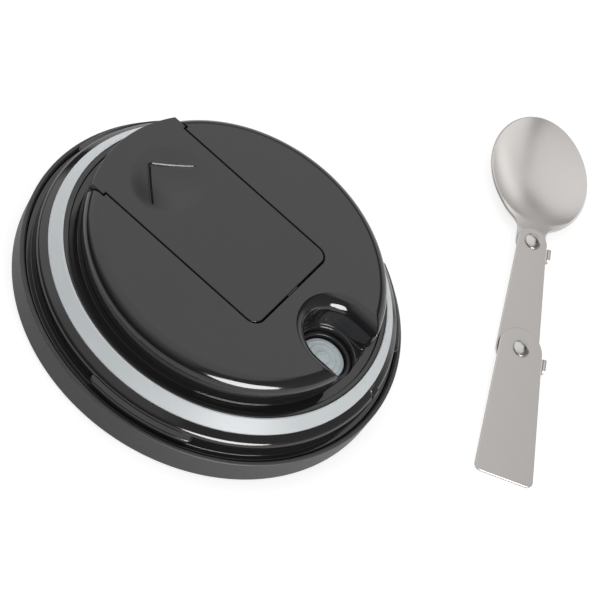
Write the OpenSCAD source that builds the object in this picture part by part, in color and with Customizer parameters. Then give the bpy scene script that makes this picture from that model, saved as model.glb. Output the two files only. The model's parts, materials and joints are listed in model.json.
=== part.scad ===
// Screw-in lid of an insulated food jar, with a sliding door over its spoon compartment,
// a vent valve that a button in its outer top works, and the folding spoon that it stores.
// Millimetres, +Z up. The lid lies on its outer top, with the origin at the centre of that face.
// -X is the way the door slides out, and +X points to the vent.

/* [Spoon] */
// Thickness of the spoon's sheet steel
sheet_t = 0.9; // [0.7:0.05:1.3]
// Outer width of the bowl at its rim
bowl_w = 33.9; // [26:0.1:42]
// Outer length of the bowl at its rim
bowl_len = 43.6; // [34:0.1:54]
// Depth of the bowl outside, from its rim
bowl_depth = 6.5; // [5:0.1:8]
// Upper rivet to the tip of the bowl
tip_reach = 49.6; // [40:0.1:60]
// Upper rivet to the lower rivet
link_reach = 40.6; // [32:0.1:49]
// Lower rivet to the end of the handle
handle_reach = 43.9; // [36:0.1:53]
// Width of the neck and of the link at the upper rivet
neck_w = 9.7; // [8:0.1:12]
// Width of the handle at its end
handle_w = 18.4; // [14:0.1:23]
// Radius of the concave corner between bowl and neck
neck_fillet_r = 5; // [3:0.1:8]
// Radius of the handle's end corners
handle_corner_r = 2; // [0.5:0.1:4]
// Radius of the rivets' shanks
rivet_r = 1.5; // [1.2:0.05:1.9]
// Radius of the rivets' heads and of the washers
rivet_head_r = 2.7; // [2.3:0.05:3.2]
// Radius of the dome on each rivet head
rivet_dome_r = 2.25; // [1.8:0.05:2.6]
// Height of a rivet's visible head
rivet_head_h = 1.1; // [0.8:0.05:1.5]
// Height of the upper rivet's peened foot
rivet_foot_h = 0.6; // [0.4:0.05:0.9]
// Height of the lower rivet's flatter foot, which swings over the bowl's rim
low_foot_h = 0.25; // [0.2:0.05:0.3]
// Thickness of the washer between bowl and link
washer_t = 0.4; // [0.3:0.05:0.8]
// Length of each thumb tab
tab_len = 4.8; // [3:0.1:6]
// Distance from a rivet to its thumb tab
tab_start = 1.0; // [0.8:0.1:3]
// How far a thumb tab stands above its plate
tab_h = 1.05; // [0.6:0.05:1.1]
// How far a thumb tab stands out of its plate's edge
tab_out = 1.2; // [1:0.1:2]

/* [Spoon compartment] */
// Clearance beside, below and above the folded spoon
spoon_clear = 0.6; // [0.4:0.1:1.2]
// Clearance beyond each end of the folded spoon
spoon_end_clear = 2; // [0.6:0.1:3]
// Thickness of the tray's walls
tray_wall = 1.2; // [0.8:0.1:1.8]
// Thickness of the tray's floor
tray_floor = 1.2; // [0.8:0.1:1.8]

/* [Door] */
// Thickness of the door
door_t = 3; // [2.6:0.1:4]
// Thickness of the door's side tongues
tongue_t = 1.3; // [1:0.1:1.6]
// How far the tongues reach under the face on each side
tongue_reach = 1.4; // [1:0.1:2]
// Gap between door and slot
door_gap = 0.4; // [0.2:0.05:0.5]
// Slot width beyond the compartment's width, on each side
slot_over = 0.45; // [0.3:0.05:0.8]
// Step by which the door's head is wider than its plate, on each side
head_step = 1.1; // [0.6:0.1:1.3]
// Length of the door's head, measured in from the plug's wall
head_len = 8.7; // [6:0.1:12]
// Corner radius of the slot's far end
slot_corner_r = 3.6; // [2:0.1:6]
// Depth of the thumb recess
thumb_depth = 0.9; // [0.5:0.05:1.2]
// Length of the thumb recess along the door
thumb_len = 19.4; // [14:0.1:24]
// Width of the thumb recess across the door
thumb_w = 25.4; // [18:0.1:30]
// Centre of the thumb recess, measured in from the plug's wall
thumb_in = 16.4; // [13:0.1:24]
// Point of the arrow groove, measured in from the plug's wall
arrow_in = 9.7; // [9:0.1:12]
// Length of each leg of the arrow groove
arrow_leg = 13.6; // [8:0.1:15]
// Angle between each leg of the arrow and the door's middle line
arrow_angle = 48; // [35:1:60]
// Depth of the arrow groove below the face
arrow_depth = 1.2; // [1:0.05:1.5]
// Width of the arrow groove
arrow_w = 1.1; // [0.8:0.05:1.6]
// Width of the detent nose at the door's far end
nose_w = 4.6; // [3:0.1:8]

/* [Plug] */
// Wall thickness of the plug
plug_wall = 2; // [1.6:0.1:2.6]
// Radius of the plug's rounded shoulder
shoulder_r = 3.6; // [2:0.1:4.5]
// Height of the plug's wall above the gasket ledge, up to the face
plug_h = 9.7; // [8:0.1:12]
// Depth of the groove at the foot of the plug's wall
foot_groove = 0.7; // [0.4:0.1:1]
// Depth of the channel round the foot of the plug's wall
channel_depth = 0.5; // [0.2:0.1:0.8]
// Width of the flat between that channel and the gasket
flange_flat = 1.5; // [1:0.1:2.4]
// Width of the ledge round the foot of the plug's wall
ledge_w = 3.3; // [2.4:0.1:5]
// Distance from the vent's axis out to the plug's wall
vent_to_rim = 8.4; // [8:0.1:11]
// Radius of the notch over the vent
notch_r = 9.3; // [7.5:0.1:10]
// Radius of the rounded edge of the notch
notch_edge_r = 4.5; // [2:0.1:5.4]
// Solid between the compartment and the vent's well
well_gap = 5.9; // [3:0.1:8]

/* [Gasket and collar] */
// Width of the gasket, measured outwards
gasket_w = 3.2; // [2.4:0.1:4.5]
// Height of the gasket
gasket_h = 3.5; // [2.6:0.1:4.5]
// Height of the collar's land under the gasket, above the collar's ledge
collar_rise = 6.5; // [5:0.1:9]
// How far the collar's wall stands out from the gasket
collar_bevel = 2.4; // [1.6:0.1:3.4]
// Wall thickness of the collar
collar_wall = 2.2; // [1.8:0.1:2.8]
// Number of thread lugs
lug_count = 3; // [2:1:4]
// How far a thread lug stands out of the collar's wall
lug_out = 1.5; // [1:0.1:2.2]
// Height of a thread lug at its root
lug_h = 3; // [2:0.1:3.4]
// Angle that each thread lug covers
lug_angle = 34; // [20:1:50]
// Direction of the first thread lug's middle
lug_first = 42; // [0:1:119]
// Ledge between the collar's wall and the seam with the cap
seam_ledge = 1.55; // [1:0.05:3]
// Seam between collar and cap
seam_gap = 0.25; // [0.1:0.05:0.4]

/* [Cap] */
// Width of the cap's wall at its crest
cap_wall = 1.5; // [1.2:0.1:3]
// Height of the cap's crest
cap_h = 8.7; // [7.6:0.1:12]
// Thickness of the cap's top
cap_floor = 2.2; // [1.8:0.1:2.6]
// Radius of the edge between the cap's wall and its outer top
cap_edge_r = 1.2; // [0.6:0.1:2]
// How far the crest stands above the collar's ledge
crest_step = 0.6; // [0.4:0.1:1.2]

/* [Vent] */
// Travel of the vent button
vent_travel = 1.8; // [1:0.1:2.2]
// Radius of the vent's silicone disc
disc_r = 6.4; // [5:0.1:6.6]
// Thickness of the disc at its edge
disc_t = 1; // [0.8:0.1:1.3]
// Radius of the well that holds the vent's seat
well_r = 8.1; // [7.5:0.1:8.6]
// Wall thickness of the well
well_wall = 1.3; // [1.2:0.1:2.2]
// Depth of the well below the ledge
well_depth = 6.4; // [4.5:0.1:6.5]
// Radius of the vent's stem
stem_r = 1.6; // [1.2:0.05:2]
// Radius of the button's face
button_r = 6.8; // [5.5:0.1:7.5]
// How deep the button's face lies below the cap's outer top
button_recess = 0.5; // [0.4:0.1:1]
// Wire radius of the spring
wire_r = 0.3; // [0.2:0.05:0.4]
// Mean radius of the spring's coils
coil_r = 4.4; // [3.8:0.1:5]
// Turns of the spring
coil_turns = 5; // [3:1:7]

/* [Hidden] */
$fn = 96;
eps = 0.01;
far = 200;

// Fits
press_gap = 0.02;
seat_gap = 0.05;
run_gap = 0.08;
rest_gap = 0.1;
loose_gap = 0.2;
clear_gap = 0.3;

// Spoon, in its own frame: X to the tip, origin on the underside of the bowl's plate at the upper rivet
link_z = sheet_t + washer_t + seat_gap;
head_upper_z = link_z + sheet_t + seat_gap;
spacer_t = rivet_head_h + clear_gap;
handle_z = link_z + sheet_t + spacer_t + seat_gap;
head_lower_z = handle_z + sheet_t + seat_gap;
stack_top = head_lower_z + rivet_head_h;
belly_z = sheet_t - bowl_depth;
bowl_x = tip_reach - bowl_len / 2;
arc_along = (pow(bowl_len / 2, 2) + pow(bowl_depth, 2)) / (2 * bowl_depth);
arc_across = (pow(bowl_w / 2, 2) + pow(bowl_depth, 2)) / (2 * bowl_depth);
spin_z = belly_z + arc_across;
end_x = -(link_reach + handle_reach);
taper = (handle_w - neck_w) / 2 / (-end_x - rivet_head_r);
// Pitch at which the belly and the end of the handle both touch the surface
pitch_dx = bowl_x - end_x;
pitch_dz = belly_z + arc_along - handle_z;
pitch = asin(arc_along / norm([pitch_dx, pitch_dz])) - atan2(pitch_dz, pitch_dx);
spoon_lift = -(end_x * sin(pitch) + handle_z * cos(pitch));
spoon_heading = 117;
spoon_aside = [-0.13, 43.15];

// Compartment and radii, worked outwards from the folded spoon
fold_len = tip_reach + neck_w / 2;
pocket_len = fold_len + 2 * spoon_end_clear;
pocket_w = bowl_w + 2 * spoon_clear;
pocket_depth = stack_top - belly_z + spoon_clear;
well_out_r = well_r + well_wall;
plug_r = (plug_wall + rest_gap + tray_wall + pocket_len + tray_wall + well_gap + well_out_r
    + vent_to_rim) / 2;
plug_in_r = plug_r - plug_wall;
tray_r = plug_in_r - rest_gap;
pocket_x0 = -(tray_r - tray_wall);
pocket_x1 = pocket_x0 + pocket_len;
slot_lip = 0.4;
slot_x1 = pocket_x1 - slot_lip;
slot_half = pocket_w / 2 + slot_over;
head_half = slot_half + head_step;
head_x = -(plug_r - head_len);
groove_half = slot_half - door_gap + tongue_reach + door_gap;
vent_x = plug_r - vent_to_rim;
flange_r = plug_r + ledge_w;
gasket_r = flange_r + gasket_w;
collar_r = gasket_r + collar_bevel;
seam_r = collar_r + seam_ledge;
cap_bore_r = seam_r + seam_gap;
cap_r = cap_bore_r + cap_wall;

// Heights, from the outer top up
ledge_z = cap_h - crest_step;
land_z = ledge_z + collar_rise;
gasket_top = land_z + gasket_h;
face_z = gasket_top + plug_h;
door_z = face_z - door_t;
rail_z = door_z - rest_gap;
tongue_top = door_z + tongue_t;
groove_top = tongue_top + rest_gap;
tray_top = rail_z - seat_gap;
tray_z = rail_z - pocket_depth - tray_floor + rest_gap;
foam_z = cap_floor + loose_gap;
foam_t = tray_z - loose_gap - foam_z;
web_t = 1.3;
web_z = gasket_top - well_depth - web_t;
seat_z = web_z + web_t;
seat_t = 2.3;
disc_z = seat_z + seat_t + rest_gap;
barb_z = disc_z - 0.7;
barb_h = 0.5;
barb_out = 0.5;
button_hole_r = button_r + clear_gap;
button_flange_z = cap_floor + rest_gap;
button_flange_r = button_r + 1.1;
button_flange_t = 1.2;
guide_r = button_flange_r + run_gap;
guide_h = button_flange_t + vent_travel + 0.4;
skirt_wall = 2;
seal_r = 0.5;
seal_z = 9.4;
seal_groove = 1.1;

// A ring or disc with the given section, drawn as [radius, height] points
module turned(points) {
    rotate_extrude() polygon(points);
}

// A disc with its upper edge rounded
module rounded_disc(r, z0, z1, edge_r) {
    rotate_extrude() {
        translate([0, z0]) square([r - edge_r, z1 - z0]);
        translate([0, z0]) square([r, z1 - z0 - edge_r]);
        intersection() {
            translate([r - edge_r, z1 - edge_r]) circle(edge_r);
            translate([r - edge_r, z1 - edge_r]) square(edge_r);
        }
    }
}

// Outline of a plate with a wider head: half widths, where the head ends, and where the plate ends
module door_outline(half, wide_half, step_x, x1, corner_r, reach) {
    translate([-reach, -half]) square([reach + x1 - corner_r, 2 * half]);
    translate([-reach, -(half - corner_r)]) square([reach + x1, 2 * (half - corner_r)]);
    for (side = [-1, 1]) translate([x1 - corner_r, side * (half - corner_r)]) circle(corner_r);
    translate([-reach, -wide_half]) square([reach + step_x, 2 * wide_half]);
}

// Solid of the notch over the vent: a round end and straight sides that run out through the wall
module notch_solid(r, z0, z1) {
    translate([vent_x, 0, z0]) {
        cylinder(r = r, h = z1 - z0);
        translate([0, -r, 0]) cube([vent_to_rim + ledge_w, 2 * r, z1 - z0]);
    }
}

// Waste that rounds the upper edge of the notch
module notch_flare() {
    flare_out = notch_r + notch_edge_r;
    module section() {
        difference() {
            translate([notch_r - 1, face_z - notch_edge_r]) square([notch_edge_r + 1, notch_edge_r + 1]);
            translate([flare_out, face_z - notch_edge_r]) circle(notch_edge_r);
        }
    }
    translate([vent_x, 0, 0]) {
        rotate([0, 0, 90]) rotate_extrude(angle = 180) section();
        for (side = [0, 1]) mirror([0, side, 0]) rotate([90, 0, 90]) linear_extrude(far / 4) section();
    }
}

module outer_cap() {
    crest_w = 0.6;
    crest_r = 0.4;
    guide_wall = 1.4;
    color([0.24, 0.24, 0.25]) difference() {
        union() {
            rotate_extrude() difference() {
                polygon([[0, 0], [cap_r, 0], [cap_r, cap_h - crest_r], [cap_r - crest_r, cap_h],
                    [cap_r - crest_r - crest_w, cap_h], [cap_bore_r, ledge_z], [cap_bore_r, cap_floor],
                    [0, cap_floor]]);
                difference() {
                    translate([cap_r - cap_edge_r, -1]) square([cap_edge_r + 1, cap_edge_r + 1]);
                    translate([cap_r - cap_edge_r, cap_edge_r]) circle(cap_edge_r);
                }
            }
            translate([vent_x, 0, 0]) cylinder(r = guide_r + guide_wall, h = cap_floor + guide_h);
        }
        translate([vent_x, 0, -1]) cylinder(r = button_hole_r, h = cap_floor + 2);
        translate([vent_x, 0, cap_floor]) cylinder(r = guide_r, h = guide_h + 1);
    }
}

module thread_lug(middle) {
    root_z = ledge_z + 1;
    inset = 0.6;
    step_angle = 1.2;
    module section(out) {
        polygon([[collar_r - inset, root_z], [collar_r + out, root_z + 0.9],
            [collar_r + out, root_z + lug_h - 0.8], [collar_r - inset, root_z + lug_h]]);
    }
    rotate([0, 0, middle - lug_angle / 2]) rotate_extrude(angle = lug_angle) section(lug_out * 0.6);
    rotate([0, 0, middle - lug_angle / 2 + step_angle])
        rotate_extrude(angle = lug_angle - 2 * step_angle) section(lug_out);
}

module threaded_collar() {
    bore_r = flange_r + seat_gap;
    bevel_z = ledge_z + 3.6;
    sleeve_z = cap_floor + seat_gap;
    rib_angle = 3.4;
    color([0.16, 0.16, 0.17]) {
        turned([[bore_r, sleeve_z], [bore_r + collar_wall, sleeve_z],
            [bore_r + collar_wall, land_z - collar_wall], [collar_r - collar_wall, bevel_z - 0.4],
            [collar_r - collar_wall, ledge_z - collar_wall], [seam_r - collar_wall, ledge_z - collar_wall],
            [seam_r - collar_wall, sleeve_z], [seam_r, sleeve_z], [seam_r, ledge_z],
            [collar_r, ledge_z], [collar_r, bevel_z + 0.2], [collar_r - 0.35, bevel_z + 1.2],
            [collar_r - 1.05, bevel_z + 1.95], [gasket_r + 0.1, land_z], [bore_r, land_z]]);
        for (k = [0 : lug_count - 1]) thread_lug(lug_first + k * 360 / lug_count);
        // Index rib that lines the vent up when the collar is welded
        rotate([0, 0, 5.4 - rib_angle / 2]) rotate_extrude(angle = rib_angle)
            polygon([[gasket_r - 0.5, land_z - 2.6], [collar_r - 0.3, bevel_z - 0.3],
                [collar_r + 0.3, bevel_z + 0.1], [collar_r + 0.05, bevel_z + 1.35],
                [collar_r - 0.75, bevel_z + 2.3], [gasket_r + 0.7, land_z - 0.1], [gasket_r - 0.3, land_z - 0.2]]);
    }
}

module gasket_ring() {
    lip_t = 0.4;
    bore_r = flange_r + press_gap;
    base_z = land_z + press_gap;
    color([0.82, 0.86, 0.88]) turned([[bore_r, base_z], [gasket_r, base_z], [gasket_r, land_z + lip_t],
        [bore_r + lip_t, gasket_top - press_gap], [bore_r, gasket_top - press_gap]]);
}

module collar_seal() {
    color([0.1, 0.1, 0.1]) rotate_extrude()
        translate([flange_r - seal_r - seat_gap, seal_z]) circle(seal_r);
}

module inner_plug() {
    shell_z = gasket_top - skirt_wall;
    skirt_z = cap_floor + seat_gap;
    vent_hole_r = 0.8;
    color([0.2, 0.2, 0.21]) difference() {
        union() {
            difference() {
                union() {
                    rounded_disc(plug_r, gasket_top - 1, face_z, shoulder_r);
                    translate([0, 0, skirt_z]) cylinder(r = flange_r, h = gasket_top - skirt_z);
                }
                cylinder(r = flange_r - skirt_wall, h = shell_z);
                cylinder(r = plug_in_r, h = rail_z);
            }
            // Wall, floor and well of the notch
            intersection() {
                union() {
                    notch_solid(notch_r + well_wall, shell_z, face_z - eps);
                    translate([vent_x, 0, web_z]) cylinder(r = well_out_r, h = gasket_top - web_z);
                }
                cylinder(r = plug_r - eps, h = far);
            }
            translate([vent_x, 0, web_z]) cylinder(r = well_out_r, h = gasket_top - web_z);
        }
        // Channel and groove round the foot of the wall
        turned([[plug_r - foot_groove, gasket_top - channel_depth],
            [flange_r - flange_flat, gasket_top - channel_depth], [flange_r - flange_flat, gasket_top + 1],
            [plug_r + 0.1, gasket_top + 1.5], [plug_r - foot_groove, gasket_top + 1]]);
        // Notch, well, stem bore and vent holes
        notch_solid(notch_r, gasket_top, face_z + 1);
        notch_flare();
        translate([vent_x, 0, seat_z]) cylinder(r = well_r, h = far);
        translate([vent_x, 0, web_z - 1]) cylinder(r = stem_r + run_gap, h = far);
        for (k = [0 : 2]) translate([vent_x, 0, web_z - 1]) rotate([0, 0, 60 + k * 120])
            translate([stem_r + 1.7, 0, 0]) cylinder(r = vent_hole_r, h = far);
        // Slot of the door, its wider mouth and the grooves of its tongues
        translate([0, 0, rail_z]) linear_extrude(far)
            door_outline(slot_half, head_half, head_x, slot_x1, slot_corner_r, plug_r + 1);
        translate([-plug_r - 1, -groove_half, rail_z])
            cube([plug_r + 1 + slot_x1, 2 * groove_half, groove_top - rail_z]);
        // Groove of the inner seal
        turned([[flange_r - seal_groove, seal_z - 0.8], [flange_r + 1, seal_z - 0.8],
            [flange_r + 1, seal_z + 0.8], [flange_r - seal_groove, seal_z + 0.8]]);
    }
}

module foam_core() {
    foam_r = flange_r - 2 - loose_gap;
    color([0.93, 0.92, 0.88]) difference() {
        translate([0, 0, foam_z]) cylinder(r = foam_r, h = foam_t);
        translate([vent_x, 0, -1]) {
            cylinder(r = well_out_r + loose_gap, h = far);
            translate([0, -(well_out_r + loose_gap), 0]) cube([far, 2 * (well_out_r + loose_gap), far]);
        }
    }
}

module spoon_tray() {
    color([0.14, 0.14, 0.15]) difference() {
        intersection() {
            translate([-far, -pocket_w / 2 - tray_wall, tray_z])
                cube([far + pocket_x1 + tray_wall, pocket_w + 2 * tray_wall, tray_top - tray_z]);
            cylinder(r = tray_r, h = far);
        }
        intersection() {
            translate([-far, -pocket_w / 2, tray_z + tray_floor])
                cube([far + pocket_x1, pocket_w, far]);
            cylinder(r = tray_r - tray_wall, h = far);
        }
    }
}

// Waste of the thumb recess: a turned barrel whose axis lies along the door
module thumb_recess() {
    arc_l = (pow(thumb_len / 2, 2) + pow(thumb_depth, 2)) / (2 * thumb_depth);
    arc_w = (pow(thumb_w / 2, 2) + pow(thumb_depth, 2)) / (2 * thumb_depth);
    translate([-(plug_r - thumb_in), 0, face_z + arc_w - thumb_depth]) rotate([0, 90, 0])
        rotate_extrude($fn = 180) intersection() {
            translate([arc_w - arc_l, 0]) circle(arc_l, $fn = 180);
            translate([0, -far]) square([far, 2 * far]);
        }
}

// Waste of the arrow: two grooves with round ends that meet towards the plug's wall
module arrow_groove() {
    half = arrow_w / 2;
    translate([-(plug_r - arrow_in), 0, face_z - arrow_depth]) linear_extrude(far / 4)
        for (side = [-1, 1]) rotate(side * arrow_angle) {
            translate([0, -half]) square([arrow_leg, arrow_w]);
            circle(half);
            translate([arrow_leg, 0]) circle(half);
        }
}

module spoon_door() {
    plate_half = slot_half - door_gap;
    plate_x1 = slot_x1 - door_gap;
    tongue_half = plate_half + tongue_reach;
    nose_out = door_gap - rest_gap;
    edge = 0.5;
    relief = 0.6;
    relief_rim = 3;
    color([0.22, 0.22, 0.23]) difference() {
        intersection() {
            union() {
                translate([0, 0, door_z]) linear_extrude(door_t)
                    door_outline(plate_half, head_half - door_gap, head_x - door_gap, plate_x1,
                        slot_corner_r - door_gap, plug_r);
                translate([-plug_r, -tongue_half, door_z])
                    cube([plug_r + plate_x1 - slot_corner_r, 2 * tongue_half, tongue_t]);
                translate([plate_x1 - 1, -nose_w / 2, door_z]) cube([1 + nose_out, nose_w, door_t]);
            }
            rounded_disc(plug_r, door_z, face_z, edge);
        }
        thumb_recess();
        arrow_groove();
        // Relief under the plate, inside a rim
        translate([head_x, -plate_half + relief_rim, door_z - 1])
            cube([plate_x1 - relief_rim - head_x, 2 * (plate_half - relief_rim), 1 + relief]);
    }
}

module vent_seat() {
    rim_in = disc_r + 0.5;
    rim_h = 2.1;
    bore = 4.3;
    out_r = well_r - seat_gap;
    top_z = seat_z + seat_t + rim_h;
    color([0.08, 0.08, 0.09]) translate([vent_x, 0, 0]) turned([[bore, seat_z], [out_r, seat_z],
        [out_r, top_z - 0.4], [out_r - 0.4, top_z], [rim_in + 0.3, top_z], [rim_in, top_z - 0.3],
        [rim_in, seat_z + seat_t], [bore, seat_z + seat_t]]);
}

module vent_seal() {
    hub_r = 3.2;
    hub_h = 1.9;
    bore_r = stem_r + press_gap;
    barb_r = bore_r + barb_out;
    dome_h = 0.6;
    color([0.8, 0.85, 0.88]) translate([vent_x, 0, 0]) difference() {
        union() {
            rounded_disc(disc_r, disc_z, disc_z + disc_t, 0.3);
            translate([0, 0, disc_z - hub_h]) cylinder(r = hub_r, h = hub_h + eps);
            rounded_disc(2.5, disc_z, disc_z + disc_t + dome_h, 0.5);
            for (ring_r = [4, 5.3]) translate([0, 0, disc_z + disc_t]) rotate_extrude()
                translate([ring_r, 0]) circle(0.22, $fn = 24);
        }
        translate([0, 0, disc_z - hub_h - 1]) cylinder(r = bore_r, h = hub_h + 1 + 0.8);
        translate([0, 0, barb_z - seat_gap]) cylinder(r = barb_r, h = barb_h + 2 * seat_gap);
    }
}

module vent_stem() {
    stem_z = button_flange_z + button_flange_t;
    color([0.85, 0.85, 0.83]) translate([vent_x, 0, 0]) {
        translate([0, 0, stem_z]) cylinder(r = stem_r, h = disc_z + 0.7 - stem_z);
        translate([0, 0, barb_z]) cylinder(r = stem_r + barb_out, h = barb_h);
    }
}

// Wire of the spring: rings of eight points along a helix
module vent_spring() {
    ring = 8;
    per_turn = 16;
    z0 = button_flange_z + button_flange_t + wire_r + seat_gap;
    z1 = web_z - wire_r - seat_gap;
    n = coil_turns * per_turn;
    points = [for (i = [0 : n]) let (a = i * 360 / per_turn, z = z0 + (z1 - z0) * i / n)
        for (j = [0 : ring - 1]) let (b = j * 360 / ring, r = coil_r + wire_r * cos(b))
            [r * cos(a), r * sin(a), z + wire_r * sin(b)]];
    sides = [for (i = [0 : n - 1]) for (j = [0 : ring - 1]) let (k = (j + 1) % ring)
        [i * ring + j, i * ring + k, (i + 1) * ring + k, (i + 1) * ring + j]];
    ends = [[for (j = [0 : ring - 1]) ring - 1 - j], [for (j = [0 : ring - 1]) n * ring + j]];
    color([0.75, 0.75, 0.76]) translate([vent_x, 0, 0]) polyhedron(points, concat(sides, ends));
}

module vent_button() {
    hub_r = 3;
    hub_h = 2.4;
    dish_r = 45;
    dish = 0.4;
    top_z = button_flange_z + button_flange_t;
    color([0.2, 0.2, 0.21]) translate([vent_x, 0, 0]) difference() {
        union() {
            translate([0, 0, button_recess]) cylinder(r = button_r, h = top_z - button_recess);
            translate([0, 0, button_flange_z]) cylinder(r = button_flange_r, h = button_flange_t);
            translate([0, 0, top_z - eps]) cylinder(r = hub_r, h = hub_h);
        }
        translate([0, 0, top_z]) cylinder(r = stem_r + press_gap, h = far);
        translate([0, 0, button_recess + dish - dish_r]) sphere(dish_r);
    }
}

// Puts a piece of the spoon where the spoon lies beside the lid
module spoon_place() {
    translate([cap_r + spoon_aside[0], cap_r + spoon_aside[1], spoon_lift])
        rotate([0, 0, spoon_heading]) rotate([0, -pitch, 0]) children();
}

// Half width of the tapering strip at x
function strip_half(x) = neck_w / 2 + max(0, -x - rivet_head_r) * taper;

// Plan of a strip between two places along the spoon
module strip(x0, x1) {
    half0 = strip_half(x0);
    half1 = strip_half(x1);
    polygon([[x0, -half0], [x1, -half1], [x1, half1], [x0, half0]]);
}

// Half width of the bowl's rim at x from its middle, and the slope of that outline
function rim_half(x) =
    sqrt(pow(sqrt(pow(arc_along, 2) - pow(x, 2)) - (arc_along - arc_across), 2) - pow(spin_z - sheet_t, 2));
function rim_slope(x) = (rim_half(x + eps) - rim_half(x - eps)) / (2 * eps);

// Where the neck's fillet meets the rim, found by halving the range
function fillet_gap(x) = rim_half(x) - neck_w / 2
    + neck_fillet_r * (1 / sqrt(1 + pow(rim_slope(x), 2)) - 1);
function fillet_x(low, high, steps) = let (middle = (low + high) / 2)
    steps == 0 ? middle
    : fillet_gap(middle) < 0 ? fillet_x(middle, high, steps - 1) : fillet_x(low, middle, steps - 1);

// Turned solid whose lower side is the bowl: in is how far it lies inside the outer face
module bowl_barrel(in) {
    translate([bowl_x, 0, spin_z]) rotate([0, 90, 0]) rotate_extrude($fn = 180) intersection() {
        translate([arc_across - arc_along, 0]) circle(arc_along - in, $fn = 180);
        translate([0, -far]) square([far, 2 * far]);
    }
}

// Rivet hole with the given clearance
module rivet_hole(x, gap) {
    translate([x, 0, -far / 2]) cylinder(r = rivet_r + gap, h = far);
}

// Tab that stands up at the right edge of the plate at z0, past the rivet at x
module thumb_tab(x, z0) {
    x0 = x - tab_start - tab_len;
    edge_y = -strip_half(x0 + tab_len) - tab_out;
    translate([x0, edge_y, z0]) cube([tab_len, sheet_t, sheet_t + tab_h]);
    translate([x0, edge_y, z0]) cube([tab_len, tab_out + neck_w / 4, sheet_t]);
}

module spoon_bowl() {
    neck_x = bowl_x - bowl_len / 2;
    meet = fillet_x(-bowl_len / 2 + 0.1, -1, 24);
    meet_x = bowl_x + meet;
    meet_y = rim_half(meet);
    fillet_y = neck_w / 2 + neck_fillet_r;
    fillet_mid = meet_x - (fillet_y - meet_y) * rim_slope(meet);
    color([0.75, 0.74, 0.72]) spoon_place() difference() {
        union() {
            intersection() {
                bowl_barrel(0);
                translate([0, -bowl_w, belly_z - 1]) cube([far, 2 * bowl_w, sheet_t - belly_z + 1]);
            }
            linear_extrude(sheet_t) {
                translate([0, -neck_w / 2]) square([meet_x, neck_w]);
                circle(neck_w / 2);
                difference() {
                    polygon([[fillet_mid, -fillet_y], [meet_x, -meet_y], [meet_x, meet_y],
                        [fillet_mid, fillet_y]]);
                    for (side = [-1, 1]) translate([fillet_mid, side * fillet_y]) circle(neck_fillet_r);
                }
            }
        }
        intersection() {
            bowl_barrel(sheet_t);
            translate([neck_x - 1, -bowl_w, belly_z - 1]) cube([far, 2 * bowl_w, far]);
        }
        rivet_hole(0, press_gap);
    }
}

module spoon_link() {
    color([0.75, 0.74, 0.72]) spoon_place() difference() {
        union() {
            translate([0, 0, link_z]) linear_extrude(sheet_t) {
                circle(neck_w / 2);
                strip(-link_reach, 0);
                translate([-link_reach, 0]) circle(strip_half(-link_reach));
            }
            thumb_tab(0, link_z);
        }
        rivet_hole(0, run_gap);
        rivet_hole(-link_reach, press_gap);
    }
}

module spoon_handle() {
    end_half = handle_w / 2;
    lower_half = strip_half(-link_reach);
    color([0.75, 0.74, 0.72]) spoon_place() difference() {
        union() {
            translate([0, 0, handle_z]) linear_extrude(sheet_t) {
                translate([-link_reach, 0]) circle(lower_half);
                strip(end_x + handle_corner_r, -link_reach);
                translate([end_x, -end_half + handle_corner_r])
                    square([handle_corner_r * 2, handle_w - 2 * handle_corner_r]);
                for (side = [-1, 1])
                    translate([end_x + handle_corner_r, side * (end_half - handle_corner_r)])
                        circle(handle_corner_r);
            }
            thumb_tab(-link_reach, handle_z);
        }
        rivet_hole(-link_reach, run_gap);
    }
}

// Rivet at x that holds the plates between z0 and z1, with a stepped, domed head on top
module rivet(x, z0, z1, foot_h) {
    flange_t = 0.35;
    dome_h = rivet_head_h - flange_t;
    dome_arc = (pow(rivet_dome_r, 2) + pow(dome_h, 2)) / (2 * dome_h);
    color([0.78, 0.77, 0.75]) spoon_place() translate([x, 0, 0]) {
        translate([0, 0, z0 - foot_h]) cylinder(r = rivet_head_r, h = foot_h);
        translate([0, 0, z0 - eps]) cylinder(r = rivet_r, h = z1 - z0 + 2 * eps);
        translate([0, 0, z1]) cylinder(r = rivet_head_r, h = flange_t);
        intersection() {
            translate([0, 0, z1 + rivet_head_h - dome_arc]) sphere(dome_arc);
            translate([0, 0, z1 + flange_t - eps]) cylinder(r = rivet_dome_r, h = rivet_head_h);
        }
    }
}

module rivet_upper() {
    rivet(0, 0, head_upper_z, rivet_foot_h);
}

module rivet_lower() {
    rivet(-link_reach, link_z, head_lower_z, low_foot_h);
}

// Flat washer round the rivet at x
module washer(x, z0, t) {
    color([0.7, 0.7, 0.7]) spoon_place() translate([x, 0, z0]) difference() {
        cylinder(r = rivet_head_r, h = t);
        translate([0, 0, -1]) cylinder(r = rivet_r + press_gap, h = t + 2);
    }
}

module washer_upper() {
    washer(0, sheet_t, washer_t);
}

module washer_lower() {
    washer(-link_reach, link_z + sheet_t, spacer_t);
}

outer_cap();
threaded_collar();
inner_plug();
gasket_ring();
collar_seal();
foam_core();
spoon_tray();
spoon_door();
vent_seat();
vent_seal();
vent_stem();
vent_spring();
vent_button();
spoon_bowl();
spoon_link();
spoon_handle();
rivet_upper();
rivet_lower();
washer_upper();
washer_lower();
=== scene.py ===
"""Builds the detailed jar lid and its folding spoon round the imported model, as an add-on run as a script.

Meshes are drawn in millimetres and scaled to metres when they are finished. The lid lies on its
outer top with the origin in that face's centre, -X is the way its door slides out, +X is the vent.
"""

import json
import math

import bmesh
import bpy
from mathutils import Matrix, Vector


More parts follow.
